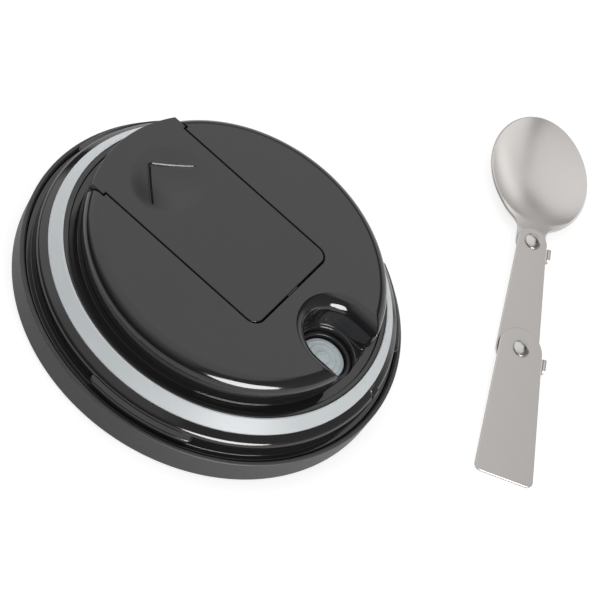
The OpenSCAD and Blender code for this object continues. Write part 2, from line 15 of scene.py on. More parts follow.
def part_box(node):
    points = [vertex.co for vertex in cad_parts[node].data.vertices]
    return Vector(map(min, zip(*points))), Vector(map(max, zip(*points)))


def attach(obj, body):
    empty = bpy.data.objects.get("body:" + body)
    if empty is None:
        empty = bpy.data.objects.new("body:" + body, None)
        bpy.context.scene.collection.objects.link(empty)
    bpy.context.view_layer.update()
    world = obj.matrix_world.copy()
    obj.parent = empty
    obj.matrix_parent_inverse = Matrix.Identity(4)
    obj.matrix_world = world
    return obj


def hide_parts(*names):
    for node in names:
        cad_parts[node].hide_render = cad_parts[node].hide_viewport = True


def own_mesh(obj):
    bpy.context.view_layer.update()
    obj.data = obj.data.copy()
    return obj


bl_info = {
    "name": "Jar Lid and Folding Spoon",
    "version": (1, 0, 0),
    "blender": (4, 5, 0),
    "location": "3D View > Sidebar > Jar Lid",
    "description": "Builds a screw-in jar lid with a sliding door, its vent, and a folding spoon",
    "category": "Object",
}

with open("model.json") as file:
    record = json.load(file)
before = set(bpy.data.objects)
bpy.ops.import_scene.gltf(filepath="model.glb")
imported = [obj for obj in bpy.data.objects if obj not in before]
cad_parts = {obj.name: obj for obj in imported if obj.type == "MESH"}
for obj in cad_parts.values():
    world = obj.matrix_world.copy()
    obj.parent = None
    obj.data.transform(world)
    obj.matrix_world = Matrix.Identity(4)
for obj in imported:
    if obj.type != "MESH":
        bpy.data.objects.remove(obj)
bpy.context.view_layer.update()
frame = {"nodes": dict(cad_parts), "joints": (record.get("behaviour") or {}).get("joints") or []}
JOINTS = {joint["name"]: joint for joint in frame["joints"]}
MM = 0.001

# Radii and heights that the frame fixes, in millimetres
PLUG_R = 43.325
PLUG_IN_R = 41.325
FLANGE_R = 46.625
GASKET_R = 49.825
COLLAR_R = 52.225
SEAM_R = 53.775
CAP_BORE_R = 54.025
CAP_R = 55.525
CAP_FLOOR = 2.2
CREST_Z = 8.7
LEDGE_Z = 8.1
LAND_Z = 14.6
FLANGE_Z = 18.1
RAIL_Z = 24.7
DOOR_Z = 24.8
FACE_Z = 27.8
VENT_X = 34.925
NOTCH_R = 9.3
WELL_R = 8.1
WELL_WALL = 1.3
WEB_Z = 10.4
SEAT_Z = 11.7
DISC_Z = 14.1
SLOT_X1 = 18.025
SLOT_HALF = 18.0
SLOT_CORNER = 3.6
HEAD_HALF = 19.1
HEAD_X = -34.625
DOOR_GAP = 0.4

# Foot of plug and collar, top of the door's tongues, and where vent, recess and arrow lie on the lid
SKIRT_Z = 2.25
TONGUE_Z = 26.1
VENT_AXIS = (VENT_X, 0.0)
RECESS_X = -26.925
ARROW_X = 9.7 - PLUG_R

# The arrow groove's floor on each leg: its left end, right end and depth, in half widths of the groove
FIRST_LEG = (-0.15, 0.15, 1.25)
SECOND_LEG = (-0.62, -0.45, 0.53)

# Radius in metres from the spring's axis to the middle of its wire
COIL_R = 0.0044

QUARTER = math.pi / 2.0
TURN = 2.0 * math.pi

# Where the camera stands, and its right and upper sides
EYE = (0.0621, -0.3472, 0.4244)
EYE_RIGHT = (0.74484, 0.53911, 0.39318)
EYE_UP = (-0.66266, 0.52861, 0.53054)


def a_length(name, text, default, low, high):
    """A length in metres that a user may change."""
    return bpy.props.FloatProperty(
        name=name, description=text, default=default, min=low, max=high, unit="LENGTH")


def an_angle(name, text, degrees):
    """An angle that a user may change."""
    return bpy.props.FloatProperty(
        name=name, description=text, default=math.radians(degrees), subtype="ANGLE")


def a_level(name, text, default, **limits):
    """A strength, a power or a shade that a user may change."""
    return bpy.props.FloatProperty(name=name, description=text, default=default, min=0.0, **limits)


def a_colour(name, text, value):
    """A colour that a user may change."""
    return bpy.props.FloatVectorProperty(
        name=name, description=text, default=value, size=3, min=0.0, max=1.0, subtype="COLOR")


class LidSizes(bpy.types.PropertyGroup):
    """Sizes of the lid's edges, recesses and lugs."""

    shoulder: a_length("Shoulder", "Radius of the plug's rounded shoulder", 0.0036, 0.002, 0.0045)
    notch_edge: a_length(
        "Notch edge", "Radius of the rounded edge of the notch over the vent", 0.0045, 0.002, 0.0054)
    mouth_round: a_length(
        "Notch mouth", "Radius of the upright corners where the notch leaves the plug", 0.0011, 0.0005, 0.003)
    slot_edge: a_length("Slot edge", "Radius of the slot's upper edge", 0.0003, 0.0001, 0.0005)
    door_edge: a_length("Door edge", "Radius of the door's upper edge", 0.0003, 0.0001, 0.0005)
    recess_depth: a_length("Recess depth", "Depth of the thumb recess in the door", 0.0009, 0.0005, 0.0012)
    recess_length: a_length("Recess length", "Length of the thumb recess along the door", 0.02, 0.014, 0.024)
    recess_width: a_length("Recess width", "Width of the thumb recess across the door", 0.0256, 0.018, 0.03)
    arrow_leg: a_length("Arrow leg", "Length of each leg of the arrow groove", 0.0136, 0.008, 0.015)
    arrow_angle: an_angle("Arrow angle", "Angle between each leg and the door's middle line", 48.0)
    arrow_width: a_length("Arrow width", "Width of the arrow groove", 0.0011, 0.0008, 0.0016)
    lug_count: bpy.props.IntProperty(
        name="Lugs", description="Number of thread lugs", default=3, min=2, max=4)
    lug_angle: an_angle("Lug angle", "Angle that each thread lug covers", 34.0)
    lug_middle: an_angle("First lug", "Direction of the first thread lug's middle", 42.0)
    spring_wire: a_length("Spring wire", "Radius of the spring's wire", 0.0003, 0.0002, 0.0004)
    spring_turns: bpy.props.FloatProperty(
        name="Spring turns", description="Turns of the vent's spring", default=5.0, min=3.0, max=7.0)


class SpoonSizes(bpy.types.PropertyGroup):
    """Sizes of the spoon's sheet, tabs and rivets."""

    sheet: a_length("Sheet", "Thickness of the sheet steel", 0.0009, 0.0007, 0.0013)
    edge: a_length("Sheet edge", "Radius of the tumbled edges", 0.0002, 0.0001, 0.0004)
    tab_length: a_length("Tab length", "Length of each thumb tab", 0.0048, 0.003, 0.006)
    tab_height: a_length("Tab height", "How far a tab stands above its plate", 0.00105, 0.0006, 0.0011)
    dome: a_length("Rivet dome", "Radius of the dome on each rivet", 0.0025, 0.0018, 0.0026)


class PieceColours(bpy.types.PropertyGroup):
    """Colours of the lid and the spoon."""

    cap: a_colour("Cap", "Textured plastic of the outer cap", (0.042, 0.041, 0.042))
    lid: a_colour("Lid", "Glossy plastic of plug and collar", (0.017, 0.0158, 0.0162))
    door: a_colour("Door", "Glossy plastic of the door", (0.017, 0.0158, 0.0162))
    gasket: a_colour("Gasket", "Silicone of the gasket", (0.62, 0.655, 0.67))
    disc: a_colour("Vent disc", "Silicone of the vent's disc", (0.62, 0.685, 0.725))
    seal: a_colour("Seals", "Rubber of the vent's seat and the inner seal", (0.012, 0.012, 0.012))
    foam: a_colour("Foam", "Insulation inside the lid", (0.84, 0.82, 0.76))
    stem: a_colour("Stem", "Plastic of the vent's stem", (0.70, 0.70, 0.67))
    steel: a_colour("Steel", "Satin steel of the spoon", (0.455, 0.435, 0.42))
    rivet: a_colour("Rivets", "Polished steel of the rivets", (0.46, 0.45, 0.44))


class StudioLevels(bpy.types.PropertyGroup):
    """Levels of the studio light and the floor."""

    sky: a_level("Sky", "Strength of the soft light from all round", 1.0)
    key: a_level("Key", "Power in watts of the key lamp, which lights matt surfaces", 2.8)
    glint: a_level("Glint", "Power in watts of the lamp that glossy edges mirror", 13.0)
    card: a_level("Card", "Power in watts of the large card that only the bowl mirrors", 0.27)
    floor: a_level("Floor", "Shade of the floor as it lights the pieces", 0.45, max=1.0)
    lift: a_level("Lift", "White that the floor adds where it is seen or mirrored", 0.72, max=1.0)


# Drawing in millimetres ------------------------------------------------------------------------


def polar(radius, angle, x=0.0, y=0.0):
    """The place at a distance and in a direction from another."""
    return x + radius * math.cos(angle), y + radius * math.sin(angle)


def rounded(corners, step=14.0, fixed=0):
    """Points of a closed outline whose corners may each carry a radius as a third number.

    A rounded corner gets one point for each step in degrees, or a fixed number of them.
    """
    points = []
    count = len(corners)
    for index, corner in enumerate(corners):
        here = Vector(corner[:2])
        radius = corner[2] if len(corner) > 2 else 0.0
        if radius <= 0.0:
            points.append((here.x, here.y))
            continue
        before = Vector(corners[index - 1][:2]) - here
        after = Vector(corners[(index + 1) % count][:2]) - here
        half = before.angle(after) / 2.0
        reach = min(radius / math.tan(half), before.length * 0.49, after.length * 0.49)
        radius = reach * math.tan(half)
        centre = here + (before.normalized() + after.normalized()).normalized() * (radius / math.sin(half))
        start = here + before.normalized() * reach - centre
        end = here + after.normalized() * reach - centre
        first = math.atan2(start.y, start.x)
        turn = math.atan2(start.x * end.y - start.y * end.x, start.dot(end))
        steps = fixed or max(2, math.ceil(abs(math.degrees(turn)) / step))
        points += [polar(radius, first + turn * k / steps, *centre) for k in range(steps + 1)]
    return points


def arc(x, y, radius, first, last, steps):
    """Points of an arc from first to last, in degrees, ends included."""
    angles = [math.radians(first + (last - first) * k / steps) for k in range(steps + 1)]
    return [polar(radius, angle, x, y) for angle in angles]


def disc_outline(x, y, radius, steps=48):
    """Anticlockwise circle."""
    return arc(x, y, radius, 0, 360 - 360 / steps, steps - 1)


def grown(outline, out):
    """A closed anticlockwise outline moved outwards by the same distance everywhere."""
    moved = []
    count = len(outline)
    for index, (x, y) in enumerate(outline):
        before, after = outline[index - 1], outline[(index + 1) % count]
        u = Vector((x - before[0], y - before[1])).normalized()
        v = Vector((after[0] - x, after[1] - y)).normalized()
        scale = out / (1.0 + u.dot(v))
        moved.append((x + (u.y + v.y) * scale, y - (u.x + v.x) * scale))
    return moved


def turned(corners, step=12.0, segments=320, centre=(0.0, 0.0)):
    """Points and faces of a closed (radius, height) outline, rounded and turned round an upright axis."""
    points, rings = [], []
    for radius, height in rounded(corners, step):
        size = segments if radius > 1e-6 else 1
        rings.append([len(points) + k for k in range(size)])
        points += [(*polar(radius, TURN * k / segments, *centre), height) for k in range(size)]
    faces = []
    for a, b in zip(rings, rings[1:] + rings[:1]):
        if len(a) == 1 and len(b) == 1:
            continue
        for k in range(segments):
            n = (k + 1) % segments
            around = (a[k % len(a)], a[n % len(a)], b[n % len(b)], b[k % len(b)])
            faces.append(list(dict.fromkeys(around)))
    return points, faces


def lofted(loops, poles=()):
    """Points and faces of a solid through equal closed loops, with flat ends or ends drawn to two poles."""
    count = len(loops[0])
    last = count * (len(loops) - 1)
    points = [point for loop in loops for point in loop] + list(poles)
    faces = [
        [row + k, row + (k + 1) % count, row + count + (k + 1) % count, row + count + k]
        for row in range(0, last, count)
        for k in range(count)
    ]
    if poles:
        low, high = last + count, last + count + 1
        for k in range(count):
            faces += [[low, (k + 1) % count, k], [high, last + k, last + (k + 1) % count]]
    else:
        faces += [list(reversed(range(count))), list(range(last, last + count))]
    return points, faces


def slab(outline, low, high, low_round=0.0, high_round=0.0, steps=4):
    """A plate from an anticlockwise outline, with rounded lower and upper edges."""
    rows = []
    for radius, edge, sign in ((low_round, low, 1.0), (high_round, high, -1.0)):
        part = []
        for k in range(steps + 1 if radius > 0.0 else 1):
            angle = QUARTER * (k / steps if radius > 0.0 else 1.0)
            part.append((-radius * (1.0 - math.sin(angle)), edge + sign * radius * (1.0 - math.cos(angle))))
        rows += part if sign > 0.0 else list(reversed(part))
    return lofted([[(x, y, z) for x, y in grown(outline, out)] for out, z in rows])


def flared(outline, low, face, radius, steps=6):
    """A cutter whose sides widen towards the face, so that the edge it leaves is rounded."""
    rows = [(0.0, low), (0.0, face - radius)]
    for k in range(1, steps + 1):
        angle = QUARTER * k / steps
        rows.append((radius * (1.0 - math.cos(angle)), face - radius + radius * math.sin(angle)))
    rows[-1] = (radius, face + 0.004)
    rows.append((radius + 0.02, face + 3.0))
    return lofted([[(x, y, z) for x, y in grown(outline, out)] for out, z in rows])


def swung(section, angle):
    """A (radius, height) section stood up in a direction from the lid's axis."""
    return [(*polar(radius, angle), height) for radius, height in section]


def cleaned(mesh, weld, sliver):
    """A working copy of a mesh without doubled points and slivers."""
    built = bmesh.new()
    built.from_mesh(mesh)
    bmesh.ops.remove_doubles(built, verts=built.verts, dist=weld)
    bmesh.ops.dissolve_degenerate(built, edges=built.edges, dist=sliver)
    return built


def solid(name, *shapes):
    """A mesh object in millimetres from closed shapes of points and faces, each facing outwards."""
    mesh, whole = bpy.data.meshes.new(name), bmesh.new()
    for points, faces in shapes:
        mesh.clear_geometry()
        mesh.from_pydata([Vector(point) for point in points], [], faces)
        built = cleaned(mesh, 1e-4, 1e-5)
        if built.calc_volume(signed=True) < 0.0:
            bmesh.ops.reverse_faces(built, faces=built.faces)
        built.to_mesh(mesh)
        built.free()
        whole.from_mesh(mesh)
    whole.to_mesh(mesh)
    whole.free()
    made = bpy.data.objects.new(name, mesh)
    bpy.context.scene.collection.objects.link(made)
    return made


def plain(piece):
    """Turns a piece with modifiers into a plain mesh."""
    bpy.context.view_layer.update()
    graph = bpy.context.evaluated_depsgraph_get()
    mesh = bpy.data.meshes.new_from_object(piece.evaluated_get(graph), depsgraph=graph)
    old = piece.data
    piece.modifiers.clear()
    piece.data = mesh
    bpy.data.meshes.remove(old)
    return piece


def combine(piece, operation, *shapes):
    """Cuts, joins or intersects a piece with closed shapes."""
    other = solid("other", *shapes)
    step = piece.modifiers.new("combine", "BOOLEAN")
    step.object = other
    step.operation = operation
    step.solver = "EXACT"
    plain(piece)
    mesh = other.data
    bpy.data.objects.remove(other)
    bpy.data.meshes.remove(mesh)
    if not piece.data.polygons:
        raise RuntimeError(f"{piece.name}: nothing was left after {operation.lower()}")


def repaint(piece, slot):
    """Gives a piece the finish of a slot."""
    piece.data.materials.clear()
    piece.data.materials.append(named_finish(slot))


def dressed(piece, body, slot, node):
    """Gives a piece its finish and its body, and hides the node that it replaces."""
    repaint(piece, slot)
    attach(piece, body)
    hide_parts(node)
    return piece


def settled(piece, body, slot, node, angle=34.0, place=None):
    """Scales a drawn piece to metres, puts it in its place, shades it and dresses it."""
    built = cleaned(piece.data, 1e-3, 1e-4)
    built.to_mesh(piece.data)
    built.free()
    piece.data.transform(Matrix.Scale(MM, 4))
    if place is not None:
        piece.data.transform(place)
    piece.data.shade_smooth()
    piece.data.set_sharp_from_angle(angle=math.radians(angle))
    normals = piece.modifiers.new("normals", "WEIGHTED_NORMAL")
    normals.mode = "FACE_AREA"
    normals.keep_sharp = True
    return dressed(plain(piece), body, slot, node)


# Finishes --------------------------------------------------------------------------------------


class Wire:
    """A socket of a node tree that works in sums, and a maker of further nodes in its tree."""

    def __init__(self, tree, socket=None):
        self.tree = tree
        self.socket = socket

    def node(self, kind, settings=None, inputs=None, out=0):
        """Adds a node: its settings first, then the values or wires of its sockets."""
        made = self.tree.nodes.new(kind)
        for key, value in (settings or {}).items():
            setattr(made, key, value)
        for key, value in (inputs or {}).items():
            if isinstance(value, Wire):
                self.tree.links.new(value.socket, made.inputs[key])
            else:
                made.inputs[key].default_value = value
        return Wire(self.tree, made.outputs[out] if made.outputs else None)

    def beside(self, name):
        """Another output of the same node."""
        return Wire(self.tree, self.socket.node.outputs[name])

    def maths(self, operation, other=0.0):
        """A sum of this value and another."""
        return self.node("ShaderNodeMath", {"operation": operation}, {0: self, 1: other})

    def __add__(self, other):
        return self.maths("ADD", other)

    def __mul__(self, other):
        return self.maths("MULTIPLY", other)

    def __sub__(self, other):
        return self.maths("SUBTRACT", other)

    def __rsub__(self, other):
        return self.node("ShaderNodeMath", {"operation": "SUBTRACT"}, {0: other, 1: self})

    def held(self, low=0.0, high=1.0):
        """The value kept between two limits."""
        return self.maths("MAXIMUM", low).maths("MINIMUM", high)

    def noise(self, scale, detail=2.0, roughness=0.5):
        """Noise over this position."""
        return self.node("ShaderNodeTexNoise", None, {
            "Vector": self, "Scale": scale, "Detail": detail, "Roughness": roughness}, "Fac")

    def stretched(self, scale, degrees=0.0):
        """This position, turned and scaled so that a pattern over it is drawn out."""
        return self.node("ShaderNodeMapping", {"vector_type": "TEXTURE"}, {
            "Vector": self, "Scale": scale, "Rotation": (0.0, 0.0, math.radians(degrees))})

    def ramp(self, *stops):
        """A grey by this value, from stops of (place, shade)."""
        made = self.node("ShaderNodeValToRGB", None, {0: self}, "Color")
        colours = made.socket.node.color_ramp.elements
        while len(colours) < len(stops):
            colours.new(1.0)
        for colour, (place, shade) in zip(colours, stops):
            colour.position = place
            colour.color = (shade, shade, shade, 1.0)
        return made

    def blend(self, first, second):
        """A colour between two, by this value."""
        first, second = (value if isinstance(value, Wire) else (*value, 1.0) for value in (first, second))
        return self.node("ShaderNodeMix", {"data_type": "RGBA"}, {0: self, 6: first, 7: second}, 2)

    def shades(self, colour, dark, light):
        """A colour between a darker and a lighter tone of one, by this value."""
        tones = [tuple(min(1.0, part * factor) for part in colour) for factor in (dark, light)]
        return self.held().blend(*tones)

    def bump(self, distance, strength, under=None):
        """A normal from this height, over another normal if there is one."""
        inputs = {"Height": self, "Distance": distance, "Strength": strength}
        if under is not None:
            inputs["Normal"] = under
        return self.node("ShaderNodeBump", None, inputs)


def emptied(owner):
    """The emptied node tree of a material or a world."""
    owner.use_nodes = True
    owner.node_tree.nodes.clear()
    return Wire(owner.node_tree)


def gloss_plastic(where, colour, low, high, streaks):
    """Moulded glossy plastic: faint smudges, long flow marks and a barely uneven surface."""
    smudge = where.noise(38.0, 4.0, 0.62)
    flow = where.stretched((6.0, 0.35, 1.0)).noise(420.0)
    dust = where.noise(2600.0, 1.0)
    speck = (dust - 0.66).held() * 2.4
    rough = smudge * (high - low) + flow * streaks + speck * 0.35 + (low - streaks * 0.5)
    return {
        "Base Color": ((smudge * 0.6 + flow * 0.4) * 1.2 - 0.1).shades(colour, 0.86, 1.18),
        "Roughness": rough.held(0.03),
        "Normal": where.noise(95.0, 1.0).bump(0.00004, 0.25, dust.bump(0.000004, 0.3)),
    }


def cap_plastic(where, colour):
    """Spark-eroded plastic: an even fine grain with slightly polished high spots, its colour lighter on them
    and darker in the pits, which is painted light and shade of the grain.
    """
    cloud = where.noise(45.0, 3.0)
    height = where.noise(2100.0, 3.0, 0.6) * 0.75 + where.noise(700.0) * 0.25
    return {
        # Colour follows the grain's height: painted light on its high spots and painted shade in its pits,
        # over a random cloudy tone
        "Base Color": (height * 0.7 + cloud * 0.4 - 0.05).shades(colour, 0.72, 1.3),
        "Roughness": (0.62 - height * 0.24 + cloud * 0.08).held(0.2),
        "Normal": height.bump(0.00006, 0.55),
    }


def silicone(where, colour, roughness):
    """Cloudy silicone with a soft skin."""
    cloud = where.noise(55.0, 4.0)
    skin = where.noise(900.0)
    dust = where.noise(3800.0, 1.0)
    return {
        "Base Color": (cloud * 1.3 - 0.15).shades(colour, 0.93, 1.05),
        "Roughness": (cloud * 0.12 + skin * 0.1 + (roughness - 0.1)).held(0.05),
        "Normal": skin.bump(0.00001, 0.3, dust.bump(0.000003, 0.3)),
    }


def seal_rubber(where, colour):
    """Black rubber with a fine matte bloom."""
    bloom = where.noise(160.0, 4.0)
    skin = where.noise(1900.0)
    return {
        "Base Color": bloom.shades(colour, 0.8, 1.9),
        "Roughness": (bloom * 0.18 + skin * 0.12 + 0.2).held(0.1),
        "Normal": skin.bump(0.00001, 0.35),
    }


def closed_foam(where, colour):
    """Closed-cell foam, its colour darker in the cells' hollows and lighter on their walls: painted shade of
    the cells.
    """
    cells = where.node("ShaderNodeTexVoronoi", {"feature": "SMOOTH_F1"}, {
        "Vector": where, "Scale": 900.0, "Smoothness": 0.4}, "Distance")
    return {
        # Colour follows the cells' height: painted shade in each hollow, over a random cloudy tone
        "Base Color": (cells * 0.8 + where.noise(70.0, 3.0) * 0.3).shades(colour, 0.78, 1.06),
        "Roughness": cells * 0.1 + 0.8,
        "Normal": cells.bump(0.0003, 0.6),
    }


def waxy_plastic(where, colour):
    """Natural moulded plastic, slightly waxy."""
    cloud = where.noise(160.0, 3.0)
    lines = where.stretched((1.0, 1.0, 8.0)).noise(1600.0, 1.0)
    return {
        "Base Color": cloud.shades(colour, 0.9, 1.06),
        "Roughness": cloud * 0.12 + lines * 0.08 + 0.28,
        "Normal": lines.bump(0.000008, 0.3),
    }


def steel(where, colour, low, high, grain, lines):
    """Stainless steel: satin grain, short brushed lines across the sheet and faint cloudy wear."""
    cloud = where.noise(60.0, 4.0, 0.6)
    fine = where.noise(5200.0)
    brush = where.stretched((9.0, 0.6, 4.0), 117.0).noise(2400.0)
    marks = where.stretched((14.0, 0.4, 4.0), 74.0).noise(900.0)
    rough = cloud * (high - low) + fine * grain + brush * lines
    rough += (marks - 0.68).held() * 0.3 + (low - (grain + lines) * 0.5)
    return {
        "Base Color": (cloud * 0.8 + brush * 0.3 - 0.05).shades(colour, 0.95, 1.04),
        "Roughness": rough.held(0.04),
        "Normal": brush.bump(0.000002, 0.25, fine.bump(0.0000015, 0.3)),
    }


SKIN = {"IOR": 1.41, "Subsurface Radius": (1.0, 1.1, 1.2), "Subsurface Scale": 0.0012}
METAL = {"Metallic": 1.0}

# For each of the record's slots: how it is drawn, its colour, the drawing's numbers and what is fixed
FINISHES = {
    "cap_plastic": (cap_plastic, "cap", (), {"IOR": 1.47}),
    "button_plastic": (cap_plastic, "cap", (), {"IOR": 1.47}),
    "lid_plastic": (gloss_plastic, "lid", (0.06, 0.13, 0.02), {"IOR": 1.49}),
    "door_plastic": (gloss_plastic, "door", (0.13, 0.24, 0.07), {"IOR": 1.49}),
    "gasket_silicone": (silicone, "gasket", (0.42,), {**SKIN, "Subsurface Weight": 0.12}),
    "vent_silicone": (silicone, "disc", (0.26,), {**SKIN, "Subsurface Weight": 0.25}),
    "seal_rubber": (seal_rubber, "seal", (), {"IOR": 1.5}),
    "foam": (closed_foam, "foam", (), {}),
    "stem_plastic": (waxy_plastic, "stem", (), {"Subsurface Weight": 0.1, "Subsurface Scale": 0.001}),
    "spoon_steel": (steel, "steel", (0.30, 0.37, 0.02, 0.03), METAL),
    "rivet_steel": (steel, "rivet", (0.19, 0.27, 0.02, 0.02), METAL),
    "spring_steel": (steel, "rivet", (0.22, 0.3, 0.04, 0.03), METAL),
}
MATERIALS = {}


def named_finish(slot):
    """The material of one of the record's slots, made when it is first asked for."""
    if slot not in MATERIALS:
        drawn, colour, numbers, fixed = FINISHES[slot]
        material = bpy.data.materials.new(slot)
        start = emptied(material)
        where = start.node("ShaderNodeTexCoord", None, None, "Object")
        varied = drawn(where, getattr(bpy.context.scene.lid_colours, colour), *numbers)
        shader = start.node("ShaderNodeBsdfPrincipled", None, {**fixed, **varied})
        start.node("ShaderNodeOutputMaterial", None, {"Surface": shader})
        MATERIALS[slot] = material
    return MATERIALS[slot]


# Node trees for what repeats or follows a path -------------------------------------------------


def with_nodes(piece, name, values, draw, slot):
    """Runs a node tree on a piece: values of its inputs, None for the piece itself, and its drawing."""
    tree = bpy.data.node_groups.new(name, "GeometryNodeTree")
    step = piece.modifiers.new(name, "NODES")
    keys = {}
    for key, value in values.items():
        kind = "Geometry" if value is None else "Int" if isinstance(value, int) else "Float"
        socket = tree.interface.new_socket(key, in_out="INPUT", socket_type="NodeSocket" + kind)
        keys[key] = socket.identifier
    tree.interface.new_socket("Mesh", in_out="OUTPUT", socket_type="NodeSocketGeometry")
    start = Wire(tree).node("NodeGroupInput")
    drawn = draw({key: start.beside(key) for key in values})
    real = start.node("GeometryNodeRealizeInstances", None, {0: drawn})
    painted = start.node("GeometryNodeSetMaterial", None, {"Geometry": real, "Material": named_finish(slot)})
    start.node("NodeGroupOutput", None, {0: painted})
    step.node_group = tree
    for key, value in values.items():
        if value is not None:
            step[keys[key]] = value
    return plain(piece)


def ring_nodes(sockets):
    """Copies of a lug, spread evenly round the Z axis."""
    count = sockets["Count"]
    line = count.node("GeometryNodeMeshLine", None, {"Count": count, "Offset": (0.0, 0.0, 0.0)})
    angle = count.node("GeometryNodeInputIndex").maths("DIVIDE", count) * TURN
    turn = count.node("ShaderNodeCombineXYZ", None, {"Z": angle})
    return count.node("GeometryNodeInstanceOnPoints", None, {
        "Points": line, "Instance": sockets["Lug"], "Rotation": turn})


def coil_nodes(sockets):
    """A coil of round wire about the vent's axis."""
    radius = sockets["Radius"]
    path = radius.node("GeometryNodeCurveSpiral", None, {
        "Resolution": 40, "Rotations": sockets["Turns"], "Start Radius": radius, "End Radius": radius,
        "Height": sockets["Height"]})
    wire = radius.node("GeometryNodeCurvePrimitiveCircle", None, {
        "Resolution": 12, "Radius": sockets["Wire"]})
    swept = radius.node("GeometryNodeCurveToMesh", None, {
        "Curve": path, "Profile Curve": wire, "Fill Caps": True})
    spot = radius.node("ShaderNodeCombineXYZ", None, {"X": VENT_X * MM, "Z": sockets["Low"]})
    return radius.node("GeometryNodeTransform", None, {"Geometry": swept, "Translation": spot})


# The stage -------------------------------------------------------------------------------------


def floor_finish(start, levels):
    """Paper that is white where it is seen or mirrored near the pieces, and dimmer as it lights them.
    Mirrored farther out towards the front left, it is black: a painted dark reflection.
    """
    shown = start.node("ShaderNodeLightPath", None, None, "Is Camera Ray")
    glossy, through = shown.beside("Is Glossy Ray"), shown.beside("Is Transmission Ray")
    place = start.node("ShaderNodeTexCoord", None, None, "Object")
    ahead = place.node("ShaderNodeVectorMath", {"operation": "DOT_PRODUCT"}, {
        0: place, 1: (-0.55, -0.83, 0.0)}, "Value")
    # Share of the floor that mirrors white; past about 0.1 m towards -X and -Y it mirrors black, a painted
    # dark reflection
    mirrored_white_share = 1.0 - ((ahead - 0.105) * 40.0).held()
    seen = (shown + glossy * mirrored_white_share + through).held()
    shade = (glossy * (1.0 - mirrored_white_share)).blend((levels.floor,) * 3, (0.0, 0.0, 0.0))
    paper = start.node("ShaderNodeBsdfDiffuse", None, {"Color": shade, "Roughness": 0.4})
    fibre = place.noise(260.0, 3.0).blend((0.985, 0.985, 0.985), (1.0, 1.0, 1.0))
    white = start.node("ShaderNodeEmission", None, {"Color": fibre, "Strength": seen * levels.lift})
    both = start.node("ShaderNodeAddShader", None, {0: paper, 1: white})
    start.node("ShaderNodeOutputMaterial", None, {"Surface": both})


def studio_light(start):
    """Light of the studio by direction: a wide panel overhead and behind, a white back, and dark sides.

    Turns and heights are shares of a full turn from -X and of the way up to the zenith.
    """
    where = start.node("ShaderNodeTexCoord", None, None, "Generated")
    x = start.node("ShaderNodeSeparateXYZ", None, {0: where}, "X")
    y, z = x.beside("Y"), x.beside("Z")
    turn = y.maths("ARCTAN2", x) * (1.0 / TURN) + 0.5
    high = z.maths("ARCSINE") * (1.0 / QUARTER)
    edge = turn.ramp(
        (0.0, 0.0), (0.05, 0.06), (0.12, 0.13), (0.22, 0.13), (0.32, 0.20), (0.37, 0.64), (0.66, 0.64),
        (0.70, 0.54), (0.735, 0.43), (0.78, 0.39), (0.86, 0.20), (0.93, 0.02), (1.0, 0.0))
    span = turn.ramp(
        (0.0, 0.12), (0.11, 0.50), (0.22, 0.69), (0.33, 0.66), (0.37, 0.08), (0.86, 0.08), (1.0, 0.12))
    panel = (high - edge).maths("DIVIDE", span).held()
    back = turn.ramp((0.62, 0.0), (0.68, 0.95), (0.79, 0.95), (0.86, 0.0)) * ((0.36 - high) * 8.0).held()
    side = turn.ramp((0.33, 0.0), (0.36, 0.28), (0.64, 0.28), (0.67, 0.0))
    walls = back.maths("MAXIMUM", side * (1.25 - high))
    return panel * (1.3 - x * 0.15 + y * 0.08) + walls * (1.0 - panel)


def card_group():
    """The collection of the pieces that the bowl's own card lights."""
    return bpy.data.collections.get("card_group") or bpy.data.collections.new("card_group")


def lamp(name, place, target, size, power, shape="RECTANGLE", diffuse=True, glossy=True):
    """A soft flat lamp that faces a target and lights matt surfaces, glossy ones or both."""
    light = bpy.data.lights.new(name, "AREA")
    light.shape = shape
    light.size, light.size_y = size
    light.energy = power
    made = bpy.data.objects.new(name, light)
    away = Vector(place) - Vector(target)
    made.matrix_world = Matrix.Translation(place) @ away.to_track_quat("Z", "Y").to_matrix().to_4x4()
    made.visible_camera = False
    made.visible_diffuse = diffuse
    made.visible_glossy = glossy
    bpy.context.scene.collection.objects.link(made)
    return made


